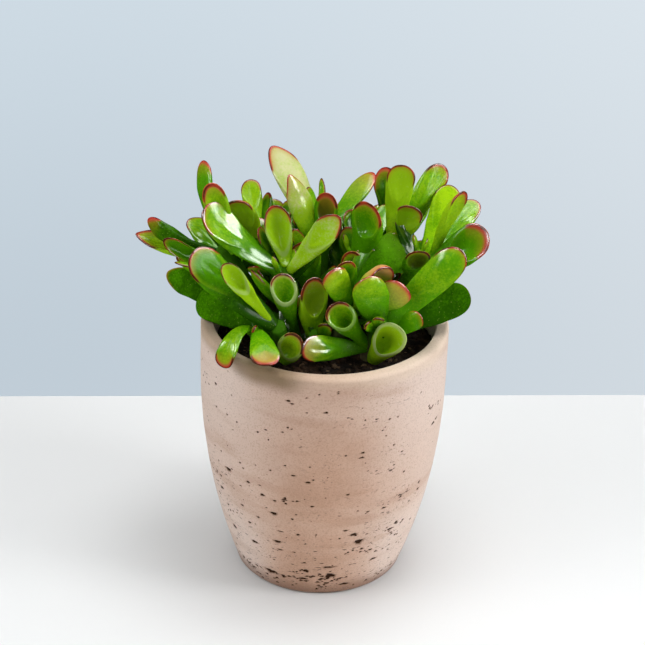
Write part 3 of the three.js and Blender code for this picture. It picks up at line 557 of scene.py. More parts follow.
concrete_colour = concrete.coated(CONCRETE_DARK, [
    (concrete.ramp(cloudy * 0.8 + banded * 0.2, 0.36, 0.64), CONCRETE),
    (concrete.ramp(banded + sand * 0.3, 0.62, 0.9) * 0.3, CONCRETE_PALE),
    (painted_sheen, PAINTED_SHEEN_TONE),
    (concrete.ramp(smears + (sand - 0.5) * 0.1, 0.50, 0.68) * 0.34, SMEAR_BROWN),
    (concrete.ramp(grain, 0.48, 0.68) * 0.30, GRAIN_DARK),
    ((1 - concrete.ramp(grain, 0.30, 0.46)) * 0.24, CONCRETE_PALE),
    (foot * 0.7, FOOT_SHADE),
    (shaded_rim * 0.75, RIM_SHADE),
    (lit_rim * 0.45, RIM_LIT),
    (leaf_shadow_on_rim * 0.75, RIM_LEAF_SHADOW),
    (pit_edges * 0.6, PIT_EDGE),
    (pinholes * 0.85, PIT_SHADE),
    (chips * 0.8, PIT_SHADE),
    (pits * 0.96, PIT_SHADE),
])
concrete.feed(concrete.shader, {
    "Base Color": concrete_colour,
    "Roughness": 0.78 + grain * 0.16,
    "Normal": concrete.bump(grain * 0.8 + sand * 0.9 - pinholes * 1.6 - chips * 1.4, 0.00022, 0.8),
})

pot = add_piece("concrete_pot", [pot_skin()], concrete)
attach(pot, "root")
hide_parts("pot")


# --- The soil ----------------------------------------------------------------------------------------------
# Damp potting mix of peat and bark crumbs. It fills the pot to a finger's breadth below the rim, and is
# heaped up a little where the shoots stand.

SOIL_LEVEL = 130 * MM
SOIL_UNDERSIDE = 118 * MM
SOIL_RADIUS = 57.6 * MM
HEAP_MIDDLE = (-2 * MM, 2 * MM)
HEAP_HEIGHT = 3.2 * MM
HEAP_RADIUS = 38 * MM
SOIL_RINGS = 90
SOIL_SIDES = 260
CRUMB_COUNT = 620
CRUMB_SIDES = 7
SOIL_DARK = (0.010, 0.006, 0.004, 1)
SOIL_BROWN = (0.050, 0.028, 0.016, 1)
SOIL_FIBRE = (0.16, 0.10, 0.055, 1)


def soil_height(x, y):
    """How high the soil stands at a place: heaped in the middle, and crumbly all over."""
    away = (x - HEAP_MIDDLE[0]) ** 2 + (y - HEAP_MIDDLE[1]) ** 2
    heap = HEAP_HEIGHT * math.exp(-away / HEAP_RADIUS ** 2)
    rough = 1.1 * noise.noise((x * 160, y * 160, 3.1)) + 0.8 * noise.noise((x * 420, y * 420, 7.7))
    return SOIL_LEVEL - 0.4 * MM + heap + rough * MM


def soil_skin():
    """The soil from its hidden flat underside to its crumbly top."""
    angle = np.linspace(-math.pi, math.pi, SOIL_SIDES, endpoint=False)
    under = [(r, SOIL_UNDERSIDE) for r in (0.3 * SOIL_RADIUS, SOIL_RADIUS - 2 * MM)]
    top = [(r, None) for r in np.linspace(1.0, 0.02, SOIL_RINGS) * SOIL_RADIUS]
    rings = []
    for radius, height in under + top:
        x, y = radius * np.cos(angle), radius * np.sin(angle)
        z = [soil_height(a, b) if height is None else height for a, b in zip(x, y)]
        rings.append(np.stack([x, y, np.array(z)], -1))
    return skin(np.array(rings), (0, 0, SOIL_UNDERSIDE), (0, 0, soil_height(0, 0)), {"crumb": 0.0})


def crumb_skin(chance):
    """A loose crumb of bark or peat that lies on the soil."""
    size = (0.5 + 1.5 * chance.random() ** 2) * MM
    away = SOIL_RADIUS * 0.97 * math.sqrt(chance.random())
    turn = chance.uniform(-math.pi, math.pi)
    x, y = away * math.cos(turn), away * math.sin(turn)
    long, wide, high = size * chance.uniform(1.0, 1.9), size, size * chance.uniform(0.5, 0.9)
    lean = Quaternion((chance.random(), chance.random(), 0.2), chance.uniform(-0.7, 0.7)).to_matrix()
    lean = np.array(Matrix.Rotation(chance.uniform(0, 6.3), 3, "Z") @ lean)
    around = np.linspace(0, 2 * math.pi, CRUMB_SIDES, endpoint=False)
    rows = []
    for latitude in (-0.95, -0.4, 0.2, 0.75, 1.2):
        rough = np.array([chance.uniform(0.72, 1.12) for _ in around])
        level = np.full(CRUMB_SIDES, high * math.sin(latitude))
        row = np.stack([long * np.cos(around) * rough, wide * np.sin(around) * rough, level], -1)
        rows.append(row * np.array([math.cos(latitude), math.cos(latitude), 1]))
    middle = np.array([x, y, soil_height(x, y) + 0.35 * high])
    points = np.array(rows) @ lean.T + middle
    ends = np.array([[0, 0, -0.9 * high], [0, 0, 1.02 * high]]) @ lean.T + middle
    return skin(points, ends[0], ends[1], {"crumb": chance.random()})


potting = Finish("potting_mix", {"Specular IOR Level": 0.04})
clods = potting.noise(210, 4)
dust = potting.noise(1300, 3)
damp = potting.noise(60, 2)
soil_colour = potting.coated(SOIL_DARK, [
    (potting.ramp(clods + dust * 0.3, 0.50, 0.85), SOIL_BROWN),
    (potting.ramp(potting.mark("crumb") + dust * 0.2, 0.86, 1.02) * 0.8, SOIL_FIBRE),
])
potting.feed(potting.shader, {
    "Base Color": soil_colour,
    "Roughness": 0.62 + damp * 0.4,
    "Normal": potting.bump(clods + dust * 0.5, 0.0006, 0.9),
})

crumbs = random.Random(11)
soil = add_piece("potting_soil", [soil_skin()], potting)
loose = add_piece("soil_crumbs", [crumb_skin(crumbs) for _ in range(CRUMB_COUNT)], potting)
for piece in (soil, loose):
    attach(piece, "root")
    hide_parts("soil")


# --- The shoots --------------------------------------------------------------------------------------------
# Thirteen short fleshy stems stand in the soil and lean outwards. Each is grown, not made: pale bark low
# down, greener and smoother near its crown, with low rings where old leaves have dropped off.

STEM_FOOT = 130
BURIED_DEPTH = 6 * MM
SCAR_COUNT = 7
SCAR_SPACING = 0.14
SCAR_WIDTH = 0.012
SCAR_RIDGE = 0.07
STEM_SIDES = 24
STEM_RINGS = 44
BARK = (0.12, 0.11, 0.05, 1)
BARK_DARK = (0.07, 0.06, 0.03, 1)
GREEN_BARK = (0.035, 0.12, 0.004, 1)

# Each shoot's foot (x, y), its crown (x, y, z) and its radius at both, in millimetres. Every foot stands at
# the height STEM_FOOT. Along a stem, places and the scars' sizes are shares of the way up.
SHOOTS = {
    "left": ((-30, 2), (-55, -4, 186), (5.5, 4.2)),
    "front_left": ((-23, -19), (-24, -32, 156), (5, 4)),
    "rim_left": ((-33, -21), (-36, -33, 153), (3.4, 2.6)),
    "centre_left": ((-13, -3), (-22, -9, 177), (5.2, 4)),
    "back_left": ((-24, 20), (-38, 17, 180), (5, 4)),
    "centre": ((-5, 12), (-3, 16, 181), (5.5, 4.2)),
    "centre_back": ((12, 8), (15, 11, 178), (5, 4)),
    "back": ((4, 34), (6, 44, 170), (5, 4)),
    "back_right": ((24, 24), (37, 21, 179), (5, 4)),
    "right": ((30, 4), (51, 2, 181), (5.5, 4.2)),
    "centre_right": ((6, -12), (14, -22, 166), (5, 4)),
    "front_right": ((23, -15), (32, -30, 159), (5.2, 4)),
    "front": ((-5, -15), (-5, -25, 148), (4, 3.2)),
}


def stem_point(shoot, share):
    """A point on the stem's centre line: it leaves the soil steeply and leans out to its crown."""
    (foot_x, foot_y), (top_x, top_y, top_z), _ = SHOOTS[shoot]
    foot = Vector((foot_x, foot_y, STEM_FOOT)) * MM
    top = Vector((top_x, top_y, top_z)) * MM
    lean = Vector((
        0.65 * foot_x + 0.35 * top_x, 0.65 * foot_y + 0.35 * top_y, 0.4 * STEM_FOOT + 0.6 * top_z,
    )) * MM
    return (1 - share) ** 2 * foot + 2 * share * (1 - share) * lean + share ** 2 * top


def stem_direction(shoot, share):
    """Which way the stem runs at a share of the way up."""
    return (stem_point(shoot, share + 0.01) - stem_point(shoot, share - 0.01)).normalized()


def stem_radius(shoot, share):
    foot, crown = SHOOTS[shoot][2]
    return (foot + (crown - foot) * share) * MM


def stem_skin(shoot):
    """A stem from below the soil to its rounded crown, with a low ring at each old leaf's scar."""
    chance = random.Random("stem " + shoot)
    scars = [
        chance.uniform(0.02, 0.05) + SCAR_SPACING * number + chance.uniform(-0.02, 0.02)
        for number in range(SCAR_COUNT)
    ]
    angle = np.linspace(0, 2 * math.pi, STEM_SIDES, endpoint=False)
    under = [(0, BURIED_DEPTH, 1), (0, BURIED_DEPTH * 6 / 13, 1)]
    above = [(float(share), 0, 1) for share in np.linspace(0, 0.97, STEM_RINGS)]
    rings, heights = [], []
    for along, buried, narrowed in under + above + [(0.99, 0, 0.88), (1.0, 0, 0.6)]:
        direction = stem_direction(shoot, along)
        middle = stem_point(shoot, along) - direction * buried
        across = Vector((0, 1, 0)).cross(direction).normalized()
        beside = direction.cross(across)
        ridge = sum(math.exp(-((along - scar) / SCAR_WIDTH) ** 2) for scar in scars)
        wobble = 1 + 0.04 * np.sin(2 * angle + 5 * along + 1) + 0.02 * np.sin(5 * angle + 17 * along)
        wide = stem_radius(shoot, along) * (1 + SCAR_RIDGE * ridge) * narrowed
        ring = np.outer(np.cos(angle) * wobble * wide, across)
        ring = ring + np.outer(np.sin(angle) * wobble * wide, beside)
        rings.append(ring + np.array(middle))
        heights.append(along)
    first = stem_point(shoot, 0) - stem_direction(shoot, 0) * BURIED_DEPTH * 1.05
    last = stem_point(shoot, 1) + stem_direction(shoot, 1) * 1.2 * MM
    return skin(np.array(rings), first, last, {"upwards": np.array(heights)[:, None]})


bark = Finish("green_bark", {"Specular IOR Level": 0.0})
streaks = bark.noise(420, 3, (1, 1, 0.3))
patches = bark.noise(110, 3)
lenticels = bark.noise(900, 2)
bark_colour = bark.coated(BARK_DARK, [
    (bark.ramp(streaks, 0.35, 0.65), BARK),
    (bark.ramp(bark.mark("upwards") + (patches - 0.5) * 0.7, 0.1, 0.7), GREEN_BARK),
    (bark.ramp(lenticels, 0.62, 0.7) * 0.35, BARK),
])
bark.feed(bark.shader, {
    "Base Color": bark_colour,
    "Roughness": 0.55 + streaks * 0.3,
    "Normal": bark.bump(streaks + lenticels * 0.4, 0.0003, 0.7),
})

for shoot in SHOOTS:
    stem = add_piece("shoot_" + shoot, [stem_skin(shoot)], bark)
    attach(stem, "root")
    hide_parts("stem_" + shoot)


# --- The leaves --------------------------------------------------------------------------------------------
# Fleshy, water-filled leaves, each a round stalk that widens into a body with a sloping upper face: a flat
# paddle, a spoon, a channel, or an open bowl, cup or trumpet. Their skin is waxy, and red round the tip.

# heel: where the upper face begins, as a share of the leaf's length. hollow: how far the face dips back into
# the body, or under 0 for a raised face. full: how far the face swells up inside its lip. depth, stalk: the
# body's thickness and the stalk's width. flare: how late the stalk widens into the body. egg: how much wider
# the face is towards the tip. heel_up, tip_up: the height of the face's edge at the heel and at the tip, and
# curl: how far its sides rise. blunt: the underside runs on to the edge instead of thinning out. Depth,
# stalk, full, curl and the two heights are shares of the leaf's width.
FORMS = {
    "paddle": dict(heel=0.38, hollow=0.04, depth=0.27, stalk=0.34, egg=0.46, full=0.19),
    "blade": dict(heel=0.3, hollow=0.03, depth=0.26, stalk=0.34, egg=0.3, full=0.16),
    "tongue": dict(heel=0.3, hollow=-0.05, depth=0.27, stalk=0.36, egg=0.36, full=0.17),
    "droop": dict(heel=0.42, hollow=0.08, depth=0.28, stalk=0.4, egg=0.55, full=0.06),
    "spoon": dict(
        heel=0.42, hollow=0.14, depth=0.34, stalk=0.38, egg=0.42, heel_up=0.05, tip_up=0.05, curl=0.08,
    ),
    "channel": dict(heel=0.16, hollow=0.12, depth=0.4, stalk=0.4, egg=0.4, tip_up=0.06, curl=0.2),
    "bud": dict(heel=0.25, hollow=-0.05, depth=0.4, stalk=0.5, egg=0.1),
    "bowl": dict(
        heel=0.37, hollow=0.26, depth=0.46, stalk=0.42, egg=0.18, heel_up=0.12, tip_up=-0.04, curl=0.04,
        blunt=True,
    ),
    "cup": dict(
        heel=0.4, hollow=0.38, depth=0.62, stalk=0.46, egg=0.02, heel_up=0.22, tip_up=-0.08, blunt=True,
    ),
    "trumpet": dict(
        heel=0.68, hollow=0.3, depth=0.55, stalk=0.46, egg=0.05, heel_up=0.38, tip_up=-0.3, blunt=True,
        flare=4,
    ),
}

# What holds for a leaf whose form and row say nothing else. curve, sway: the degrees by which it bends up
# and sideways. point: how pointed its tip is. groove: the depth of the crease along its face in millimetres,
# or under 0 for a ridge. young: it has the paler finish. tone: how light its green is, set leaf by leaf and
# partly painted light and shade. fade: how dark it turns towards its stalk, as painted shade. gloss:
# its shine. red: how wide its red lip is. rim: how pale its lip is, partly as painted light. blush, stain:
# how flushed its tip and how brown its face.
PLAIN = dict(
    heel_up=0, tip_up=0, curl=0, blunt=False, curve=0, sway=0, point=0, groove=0.25, full=0, flare=1.6,
    young=False, tone=0, fade=0.3, gloss=0.4, red=1, rim=0, blush=0, stain=0,
)


def seen(at, tip, reach, faces, length, width, form, **more):
    """A leaf that the photograph shows. It grows from its shoot at the share "at" of the height, to the line
    of sight through the pixel "tip", on the near or the far side, and its upper face is turned from the
    viewer by "faces" degrees. Length and width are in millimetres."""
    facts = dict(at=at, tip=tip, reach=reach, faces=faces, length=length * MM, width=width * MM)
    return {**PLAIN, **FORMS[form], **facts, **more}


def hidden(at, heading, rise, length, width, form, **more):
    """A leaf that the photograph hides or half hides, placed by its heading and its rise in degrees."""
    facts = dict(at=at, tip=None, heading=heading, rise=rise, length=length * MM, width=width * MM)
    return {**PLAIN, **FORMS[form], **facts, **more}


# Each shoot's larger leaves, which are pieces of their own, and then its smaller ones.
LEAVES = {
    "left": (
        [
            seen(0.97, (202, 160), "far", -130, 50, 13, "paddle", curve=8, tone=-0.3, red=3.6),
            seen(0.9, (208, 182), "near", -15, 44, 13, "bowl", curve=4, tone=0.1, red=2.0),
            seen(0.9, (148, 219), "far", -115, 46, 15, "paddle", curve=6, tone=-0.85, red=3.6,
                 gloss=0.05, depth=0.42),
            seen(0.84, (134, 232), "far", -30, 50, 12, "spoon", curve=6, point=0.6, tone=0.3, red=2.4),
            seen(0.6, (162, 239), "near", 20, 46, 9, "channel", curve=6, tone=-0.3, gloss=0.2),
            seen(0.18, (167, 272), "far", 180, 58, 14, "paddle", curve=37, point=0.3, tone=-0.5,
                 red=1.5, gloss=0),
        ],
        [
            seen(0.6, (174, 263), "near", 90, 38, 9, "paddle", curve=6),
            seen(0.22, (262, 245), "far", 0, 48, 11, "droop", curve=6),
            hidden(0.75, 125, 12, 42, 14, "paddle", curve=8),
            hidden(0.55, 150, 5, 40, 14, "spoon", curve=10),
            hidden(0.8, 55, 15, 32, 12, "paddle", curve=8),
        ],
    ),
    "front_left": (
        [
            seen(0.94, (191, 252), "near", -20, 62, 19, "paddle", curve=-8, tone=-0.4, fade=0.6,
                 flare=1.15, stalk=0.42, red=1.4, full=0.16, gloss=0.14),
            seen(1, (223, 264), "near", 0, 54, 10, "spoon", curve=8, young=True, tone=0.5, fade=0,
                 rim=0.5, red=0.7, heel=0.5, hollow=0.2, curl=0.3, flare=3, gloss=0.15),
            seen(0.6, (198, 297), "far", 180, 52, 18, "paddle", curve=22, tone=-0.25, red=0.0,
                 full=0.16, gloss=0),
            seen(0.08, (300, 335), "near", 10, 34, 14, "bowl", curve=-50, tone=0.8, red=1.2, rim=0.4),
        ],
        [],
    ),
    "rim_left": (
        [
            hidden(0.98, -121, 50, 36, 11, "droop", curve=-150, tone=0.4, red=2.6, gloss=0.2),
            hidden(1, -78, 34, 33, 15, "droop", curve=-75, tone=0.4, red=2.0, hollow=0, full=0.03,
                   gloss=0.15, blush=0.4),
        ],
        [
            seen(1, (254, 330), "near", 0, 8, 5, "bud"),
        ],
    ),
    "centre_left": (
        [
            seen(0.97, (204, 207), "near", -38, 54, 20, "paddle", curve=-6, tone=0.1, fade=0.5,
                 red=1.2, groove=0.5, full=0.02, hollow=0.03, gloss=0.75),
            seen(1, (274, 205), "near", 0, 34, 14, "channel", curve=6, tone=0.5, fade=0.1, rim=0.5,
                 red=1.8, curl=0.3, gloss=0.3),
            seen(0.98, (340, 216), "near", 10, 46, 14, "paddle", curve=-8, point=0.3, young=True,
                 tone=0.65, fade=0, rim=0.3, red=1.6, gloss=0.1, hollow=0.16, curl=0.14),
            seen(0.15, (280, 272), "near", 0, 46, 14, "trumpet", curve=-22, tone=0.1, red=0.8,
                 hollow=0.22, flare=8, rim=0.8),
        ],
        [
            hidden(0.45, -150, 50, 34, 13, "paddle", curve=8),
        ],
    ),
    "back_left": (
        [
            seen(0.9, (235, 201), "near", 30, 42, 15, "spoon", curve=6, tone=0.5, red=2.2),
            seen(0.98, (250, 178), "far", 0, 42, 11, "droop", curve=8, young=True, tone=0.1,
                 red=1.1, gloss=0.1),
            seen(0.86, (264, 194), "far", 60, 44, 13, "paddle", curve=8, tone=-0.4, red=2.0),
        ],
        [
            seen(0.62, (274, 197), "far", 0, 50, 13, "spoon", curve=6),
            hidden(0.95, 120, 0, 42, 14, "paddle", curve=8),
            hidden(0.72, 165, -4, 42, 15, "paddle", curve=10),
            hidden(0.75, 75, 15, 40, 15, "bowl", curve=8),
            hidden(0.5, 125, 0, 40, 14, "paddle", curve=12),
            hidden(0.6, -100, 30, 30, 12, "paddle", curve=8),
        ],
    ),
    "centre": (
        [
            seen(1, (271, 144), "far", -20, 60, 17, "blade", curve=-14, sway=14, point=0.3,
                 tone=1.2, fade=0.6, red=2.2, groove=0, gloss=0.05),
            seen(0.94, (288, 173), "near", 155, 42, 14, "blade", curve=8, point=0.6, tone=0.9,
                 fade=1.1, egg=0.08, flare=1.2, red=1.8, groove=-0.8, gloss=0.8, blush=0.12),
            seen(0.94, (329, 192), "near", 25, 34, 14, "bowl", curve=6, tone=-0.2, stain=0.8, red=2.8),
            seen(0.35, (302, 243), "near", 0, 40, 17, "spoon", curve=6, tone=0.1, red=1.8),
            seen(0.98, (374, 172), "far", -135, 48, 14, "blade", curve=6, tone=0.1, red=3.4, blush=0.2),
        ],
        [
            seen(0.86, (307, 186), "near", 120, 36, 10, "paddle", curve=8),
            seen(0.99, (321, 177), "far", 40, 40, 5, "bud", curve=6),
            seen(0.7, (293, 229), "near", 0, 30, 7, "bud", curve=6),
            hidden(0.75, 100, 22, 40, 14, "paddle", curve=6),
        ],
    ),
    "centre_back": (
        [
            seen(0.98, (373, 204), "near", 35, 36, 20, "bowl", curve=6, tone=-0.1, red=2.0),
        ],
        [
            seen(0.78, (388, 205), "far", 180, 40, 10, "paddle"),
            seen(0.45, (353, 250), "near", 0, 30, 12, "bowl", curve=4),
        ],
    ),
    "back": (
        [],
        [
            hidden(1, 80, 5, 42, 15, "paddle", curve=8),
            hidden(1, 0, 25, 38, 14, "spoon", curve=8),
            hidden(0.92, 170, 20, 38, 14, "paddle", curve=8),
            hidden(0.8, 120, 20, 42, 16, "paddle", curve=10),
            hidden(0.8, 30, 18, 42, 15, "spoon", curve=10),
            hidden(0.55, 75, 5, 38, 15, "paddle", curve=12),
        ],
    ),
    "back_right": (
        [
            seen(0.9, (382, 166), "far", 30, 48, 14, "paddle", curve=8, tone=-0.8, red=2.8, gloss=0.1),
            seen(0.98, (403, 164), "near", 0, 44, 15, "droop", curve=-6, young=True, tone=0.4,
                 fade=0.1, red=1.2, gloss=0.25),
            seen(0.94, (445, 164), "far", -25, 50, 15, "paddle", curve=6, tone=0.15, red=1.9, gloss=0.15),
            seen(0.96, (414, 207), "near", 0, 30, 14, "spoon", curve=6, tone=0.5, red=1.9),
        ],
        [
            hidden(0.92, 70, 15, 42, 15, "paddle", curve=8),
            hidden(0.8, 95, 10, 42, 15, "spoon", curve=10),
            hidden(0.75, 20, 15, 42, 14, "bowl", curve=8),
            hidden(0.5, 55, 5, 40, 14, "paddle", curve=12),
        ],
    ),
    "right": (
        [
            seen(0.97, (453, 184), "far", 0, 48, 14, "paddle", curve=6, young=True, tone=0.2,
                 red=0.7, gloss=0),
            seen(1, (465, 191), "near", -55, 42, 12, "spoon", curve=6, tone=0.4, red=2.4),
            seen(0.92, (477, 199), "far", 30, 48, 14, "paddle", curve=8),
            seen(0.92, (490, 234), "near", 20, 42, 20, "bowl", curve=6, tone=-0.25, red=3.4),
            seen(0.72, (421, 250), "near", -20, 32, 14, "bowl", tone=-0.5, stain=0.5),
        ],
        [
            hidden(0.75, 60, 25, 40, 15, "paddle", curve=8),
        ],
    ),
    "centre_right": (
        [
            seen(1, (405, 235), "far", 180, 50, 18, "paddle", tone=-0.4, fade=0.4, flare=1.1,
                 stalk=0.5, red=1.3, full=0.16, gloss=0, blush=0.05),
            seen(1, (344, 261), "near", -20, 26, 13, "bowl", curve=4, tone=-0.1, red=0.9),
            seen(0.84, (407, 286), "near", 150, 36, 17, "paddle", tone=0.1, red=2.6, blush=0.28),
            seen(0.98, (330, 270), "near", 170, 32, 14, "paddle", tone=0.25, flare=1.1, stalk=0.5,
                 red=2.0, full=0.16, gloss=0.6),
        ],
        [
            seen(0.96, (388, 268), "near", -50, 34, 15, "channel", curve=10, tone=0.6, red=1.4, blush=0.75),
            seen(0.92, (345, 269), "far", 170, 26, 10, "paddle"),
            hidden(0.5, -20, 40, 30, 12, "paddle", curve=8),
        ],
    ),
    "front_right": (
        [
            seen(0.95, (464, 250), "near", 0, 54, 17, "tongue", fade=0, flare=1.15, stalk=0.48,
                 red=1.1, gloss=0.35),
            seen(0.55, (470, 292), "far", 180, 52, 18, "paddle", curve=8, tone=-0.65, red=0.5,
                 full=0.16, gloss=0),
            seen(0.88, (365, 276), "near", 180, 36, 18, "blade", tone=0.05, fade=0.5, flare=1.0,
                 stalk=0.5, egg=0.12, red=1.1, full=0.2, groove=0.6, gloss=0.5),
            seen(0.28, (332, 303), "near", 10, 38, 15, "trumpet", tone=0.2, fade=0, hollow=0.36, rim=0.3),
            seen(0.25, (301, 349), "near", 10, 44, 14, "paddle", curve=-10, tone=0.5, fade=0.6,
                 red=1.5, gloss=0.9, blush=0.25),
            seen(0.12, (400, 325), "near", 0, 38, 17, "cup", curve=-35, tone=0.95, gloss=0.25,
                 red=0.0, hollow=0.5, egg=0.3, rim=0.8),
        ],
        [
            seen(0.62, (423, 316), "near", 180, 28, 10, "paddle"),
            seen(0.72, (367, 324), "near", 0, 18, 6, "bud"),
            seen(0.8, (379, 319), "near", 0, 18, 7, "bud"),
            hidden(0.3, 100, 50, 30, 12, "paddle", curve=8),
        ],
    ),
    "front": (
        [
            seen(0.35, (311, 277), "near", -35, 40, 17, "bowl", curve=-10, tone=0.85, stain=0.3, red=1.8),
        ],
        [
            seen(0.6, (326, 325), "near", 0, 22, 8, "bud"),
        ],
    ),
}

# How far a tip with point=1 reaches beyond a round one, over half the length of the leaf's face.
POINT_REACH = 0.35


def leaf_section(leaf, share):
    """The middle and the half sizes of the oval at a share of the way from the stalk (0) to the face (1)."""
    tip = leaf["length"] * share
    heel = leaf["heel"] * leaf["length"] * share ** 1.15
    stalk = leaf["stalk"] * leaf["width"] / 2
    underside = stalk + (leaf["depth"] * leaf["width"] - stalk) * soft_step(share, 0, 0.6)
    late = soft_step(share, 0, 1)
    if leaf["blunt"]:
        tip_height = -underside + (leaf["tip_up"] * leaf["width"] + underside) * soft_step(share, 0.5, 1)
    else:
        thinning = np.sqrt(np.maximum(0, 1 - (np.maximum(0, share - 0.62) / 0.38) ** 2))
        tip_height = -underside * thinning + leaf["tip_up"] * leaf["width"] * late
    heel_height = stalk + (leaf["heel_up"] * leaf["width"] - stalk) * late
    half_y = stalk + (leaf["width"] / 2 - stalk) * np.sin(math.pi / 2 * share) ** leaf["flare"]
    middle_z, half_z = (tip_height + heel_height) / 2, (tip_height - heel_height) / 2
    return (tip + heel) / 2, (tip - heel) / 2, half_y, middle_z, half_z


def egg_width(egg):
    """How much wider an egg-shaped oval is than a plain one of the same half width."""
    if egg == 0:
        return 1
    widest = (math.sqrt(1 + 8 * egg * egg) - 1) / (4 * egg)
    return math.sqrt(1 - widest * widest) * (1 + egg * widest)


def leaf_rings(leaf, share, shrink, angle):
    """Rings of the leaf's body: one for each share and shrink, with a point at each angle from the tip."""
    share, shrink = share[:, None], shrink[:, None]
    middle_x, half_x, half_y, middle_z, half_z = leaf_section(leaf, share)
    late = soft_step(share, 0, 1)
    forward, sideways = np.cos(angle)[None, :], np.sin(angle)[None, :]
    ahead = np.maximum(0, forward)
    egg = (1 + leaf["egg"] * late * forward) / (1 + (egg_width(leaf["egg"]) - 1) * late)
    rise = leaf["curl"] * leaf["width"] * sideways ** 2 * soft_step(share, 0.3, 1)
    pointed = POINT_REACH * leaf["point"] * late
    return np.stack([
        middle_x + shrink * half_x * (forward + pointed * ahead ** 8),
        shrink * half_y * sideways * egg * (1 - pointed * ahead ** 2),
        middle_z + shrink * half_z * forward + shrink ** 2 * rise,
    ], -1)


def bent(points, length, degrees, axis):
    """Points of a leaf along X, bent into an arc that ends so many degrees towards Y (1) or Z (2)."""
    if degrees == 0:
        return points
    curvature = math.radians(degrees) / length
    turn = curvature * points[..., 0]
    height = points[..., axis]
    result = points.copy()
    result[..., 0] = np.sin(turn) / curvature - height * np.sin(turn)
    result[..., axis] = (1 - np.cos(turn)) / curvature + height * np.cos(turn)
    return result


def bent_leaf(leaf, points):
    """Points of a leaf with its curve and then its sway."""
    return bent(bent(points, leaf["length"], leaf["curve"], 2), leaf["length"], leaf["sway"], 1)


def root_on_stem(shoot, at, heading):
    """Where a leaf that heads this way leaves the stem: just under the bark."""
    direction = stem_direction(shoot, at)
    outwards = heading - heading.dot(direction) * direction
    if outwards.length < 0.15:
        outwards = Vector((heading.x, heading.y, 0))
    return stem_point(shoot, at) + outwards.normalized() * 0.85 * stem_radius(shoot, at)


def place_by_sight(shoot, leaf):
    """The root and the turn of a leaf whose tip lies on the line of sight through its pixel."""
    pointed = POINT_REACH * leaf["point"] * (1 - leaf["heel"]) * 0.5 * leaf["length"]
    tip = np.array([leaf["length"] + pointed, 0, leaf["tip_up"] * leaf["width"]])
    tip = Vector(bent_leaf(leaf, tip))
    sight = sight_direction(leaf["tip"])
    chord = Vector((0, 0, 1))
    for _ in range(8):
        root = root_on_stem(shoot, leaf["at"], chord)
        nearest = eye + sight * (root - eye).dot(sight)
        short = math.sqrt(max(0, tip.length_squared - (nearest - root).length_squared))
        chord = (nearest + sight * (-short if leaf["reach"] == "near" else short) - root).normalized()
    facing = (towards_viewer - towards_viewer.dot(chord) * chord).normalized()
    facing = Quaternion(chord, -math.radians(leaf["faces"])) @ facing
    world_axes = Matrix((chord, facing.cross(chord), facing)).transposed()
    along = tip.normalized()
    upwards = (Vector((0, 0, 1)) - along.z * along).normalized()
    leaf_axes = Matrix((along, upwards.cross(along), upwards))
    return root, world_axes @ leaf_axes


def place_by_heading(shoot, leaf):
    """The root and the turn of a leaf that is placed by its heading and its rise."""
    turn = Matrix.Rotation(math.radians(leaf["heading"]), 3, "Z")
    turn = turn @ Matrix.Rotation(-math.radians(leaf["rise"]), 3, "Y")
    return root_on_stem(shoot, leaf["at"], turn @ Vector((1, 0, 0))), turn


# How the edge of a blunt leaf (True) and of a thin one (False) is made. gather: how the rings crowd towards
# it. lip: its width, and most: the share of the leaf's width that it takes up at most. proud: how far it
# stands up. below, inside, passes: how many rings below the lip and what share of those on the face are
# eased, and how many times. crest: the ring that the distance from the edge is counted from.
EDGES = {
    True: dict(gather=1.35, lip=1.7 * MM, most=1, proud=0.45 * MM, below=7, inside=0.3, passes=9, crest=1),
    False: dict(
        gather=1.9, lip=0.9 * MM, most=0.08, proud=0.12 * MM, below=14, inside=0.42, passes=26, crest=-1,
    ),
}

# How finely a leaf is meshed: the points round it, the rings below its lip and the rings on its face.
LARGE_MESH = (64, 44, 22)
SMALL_MESH = (40, 30, 14)
INNER_MESH = (28, 18, 10)
DENT_WAVES = 3
DENT_LENGTH = 10 * MM


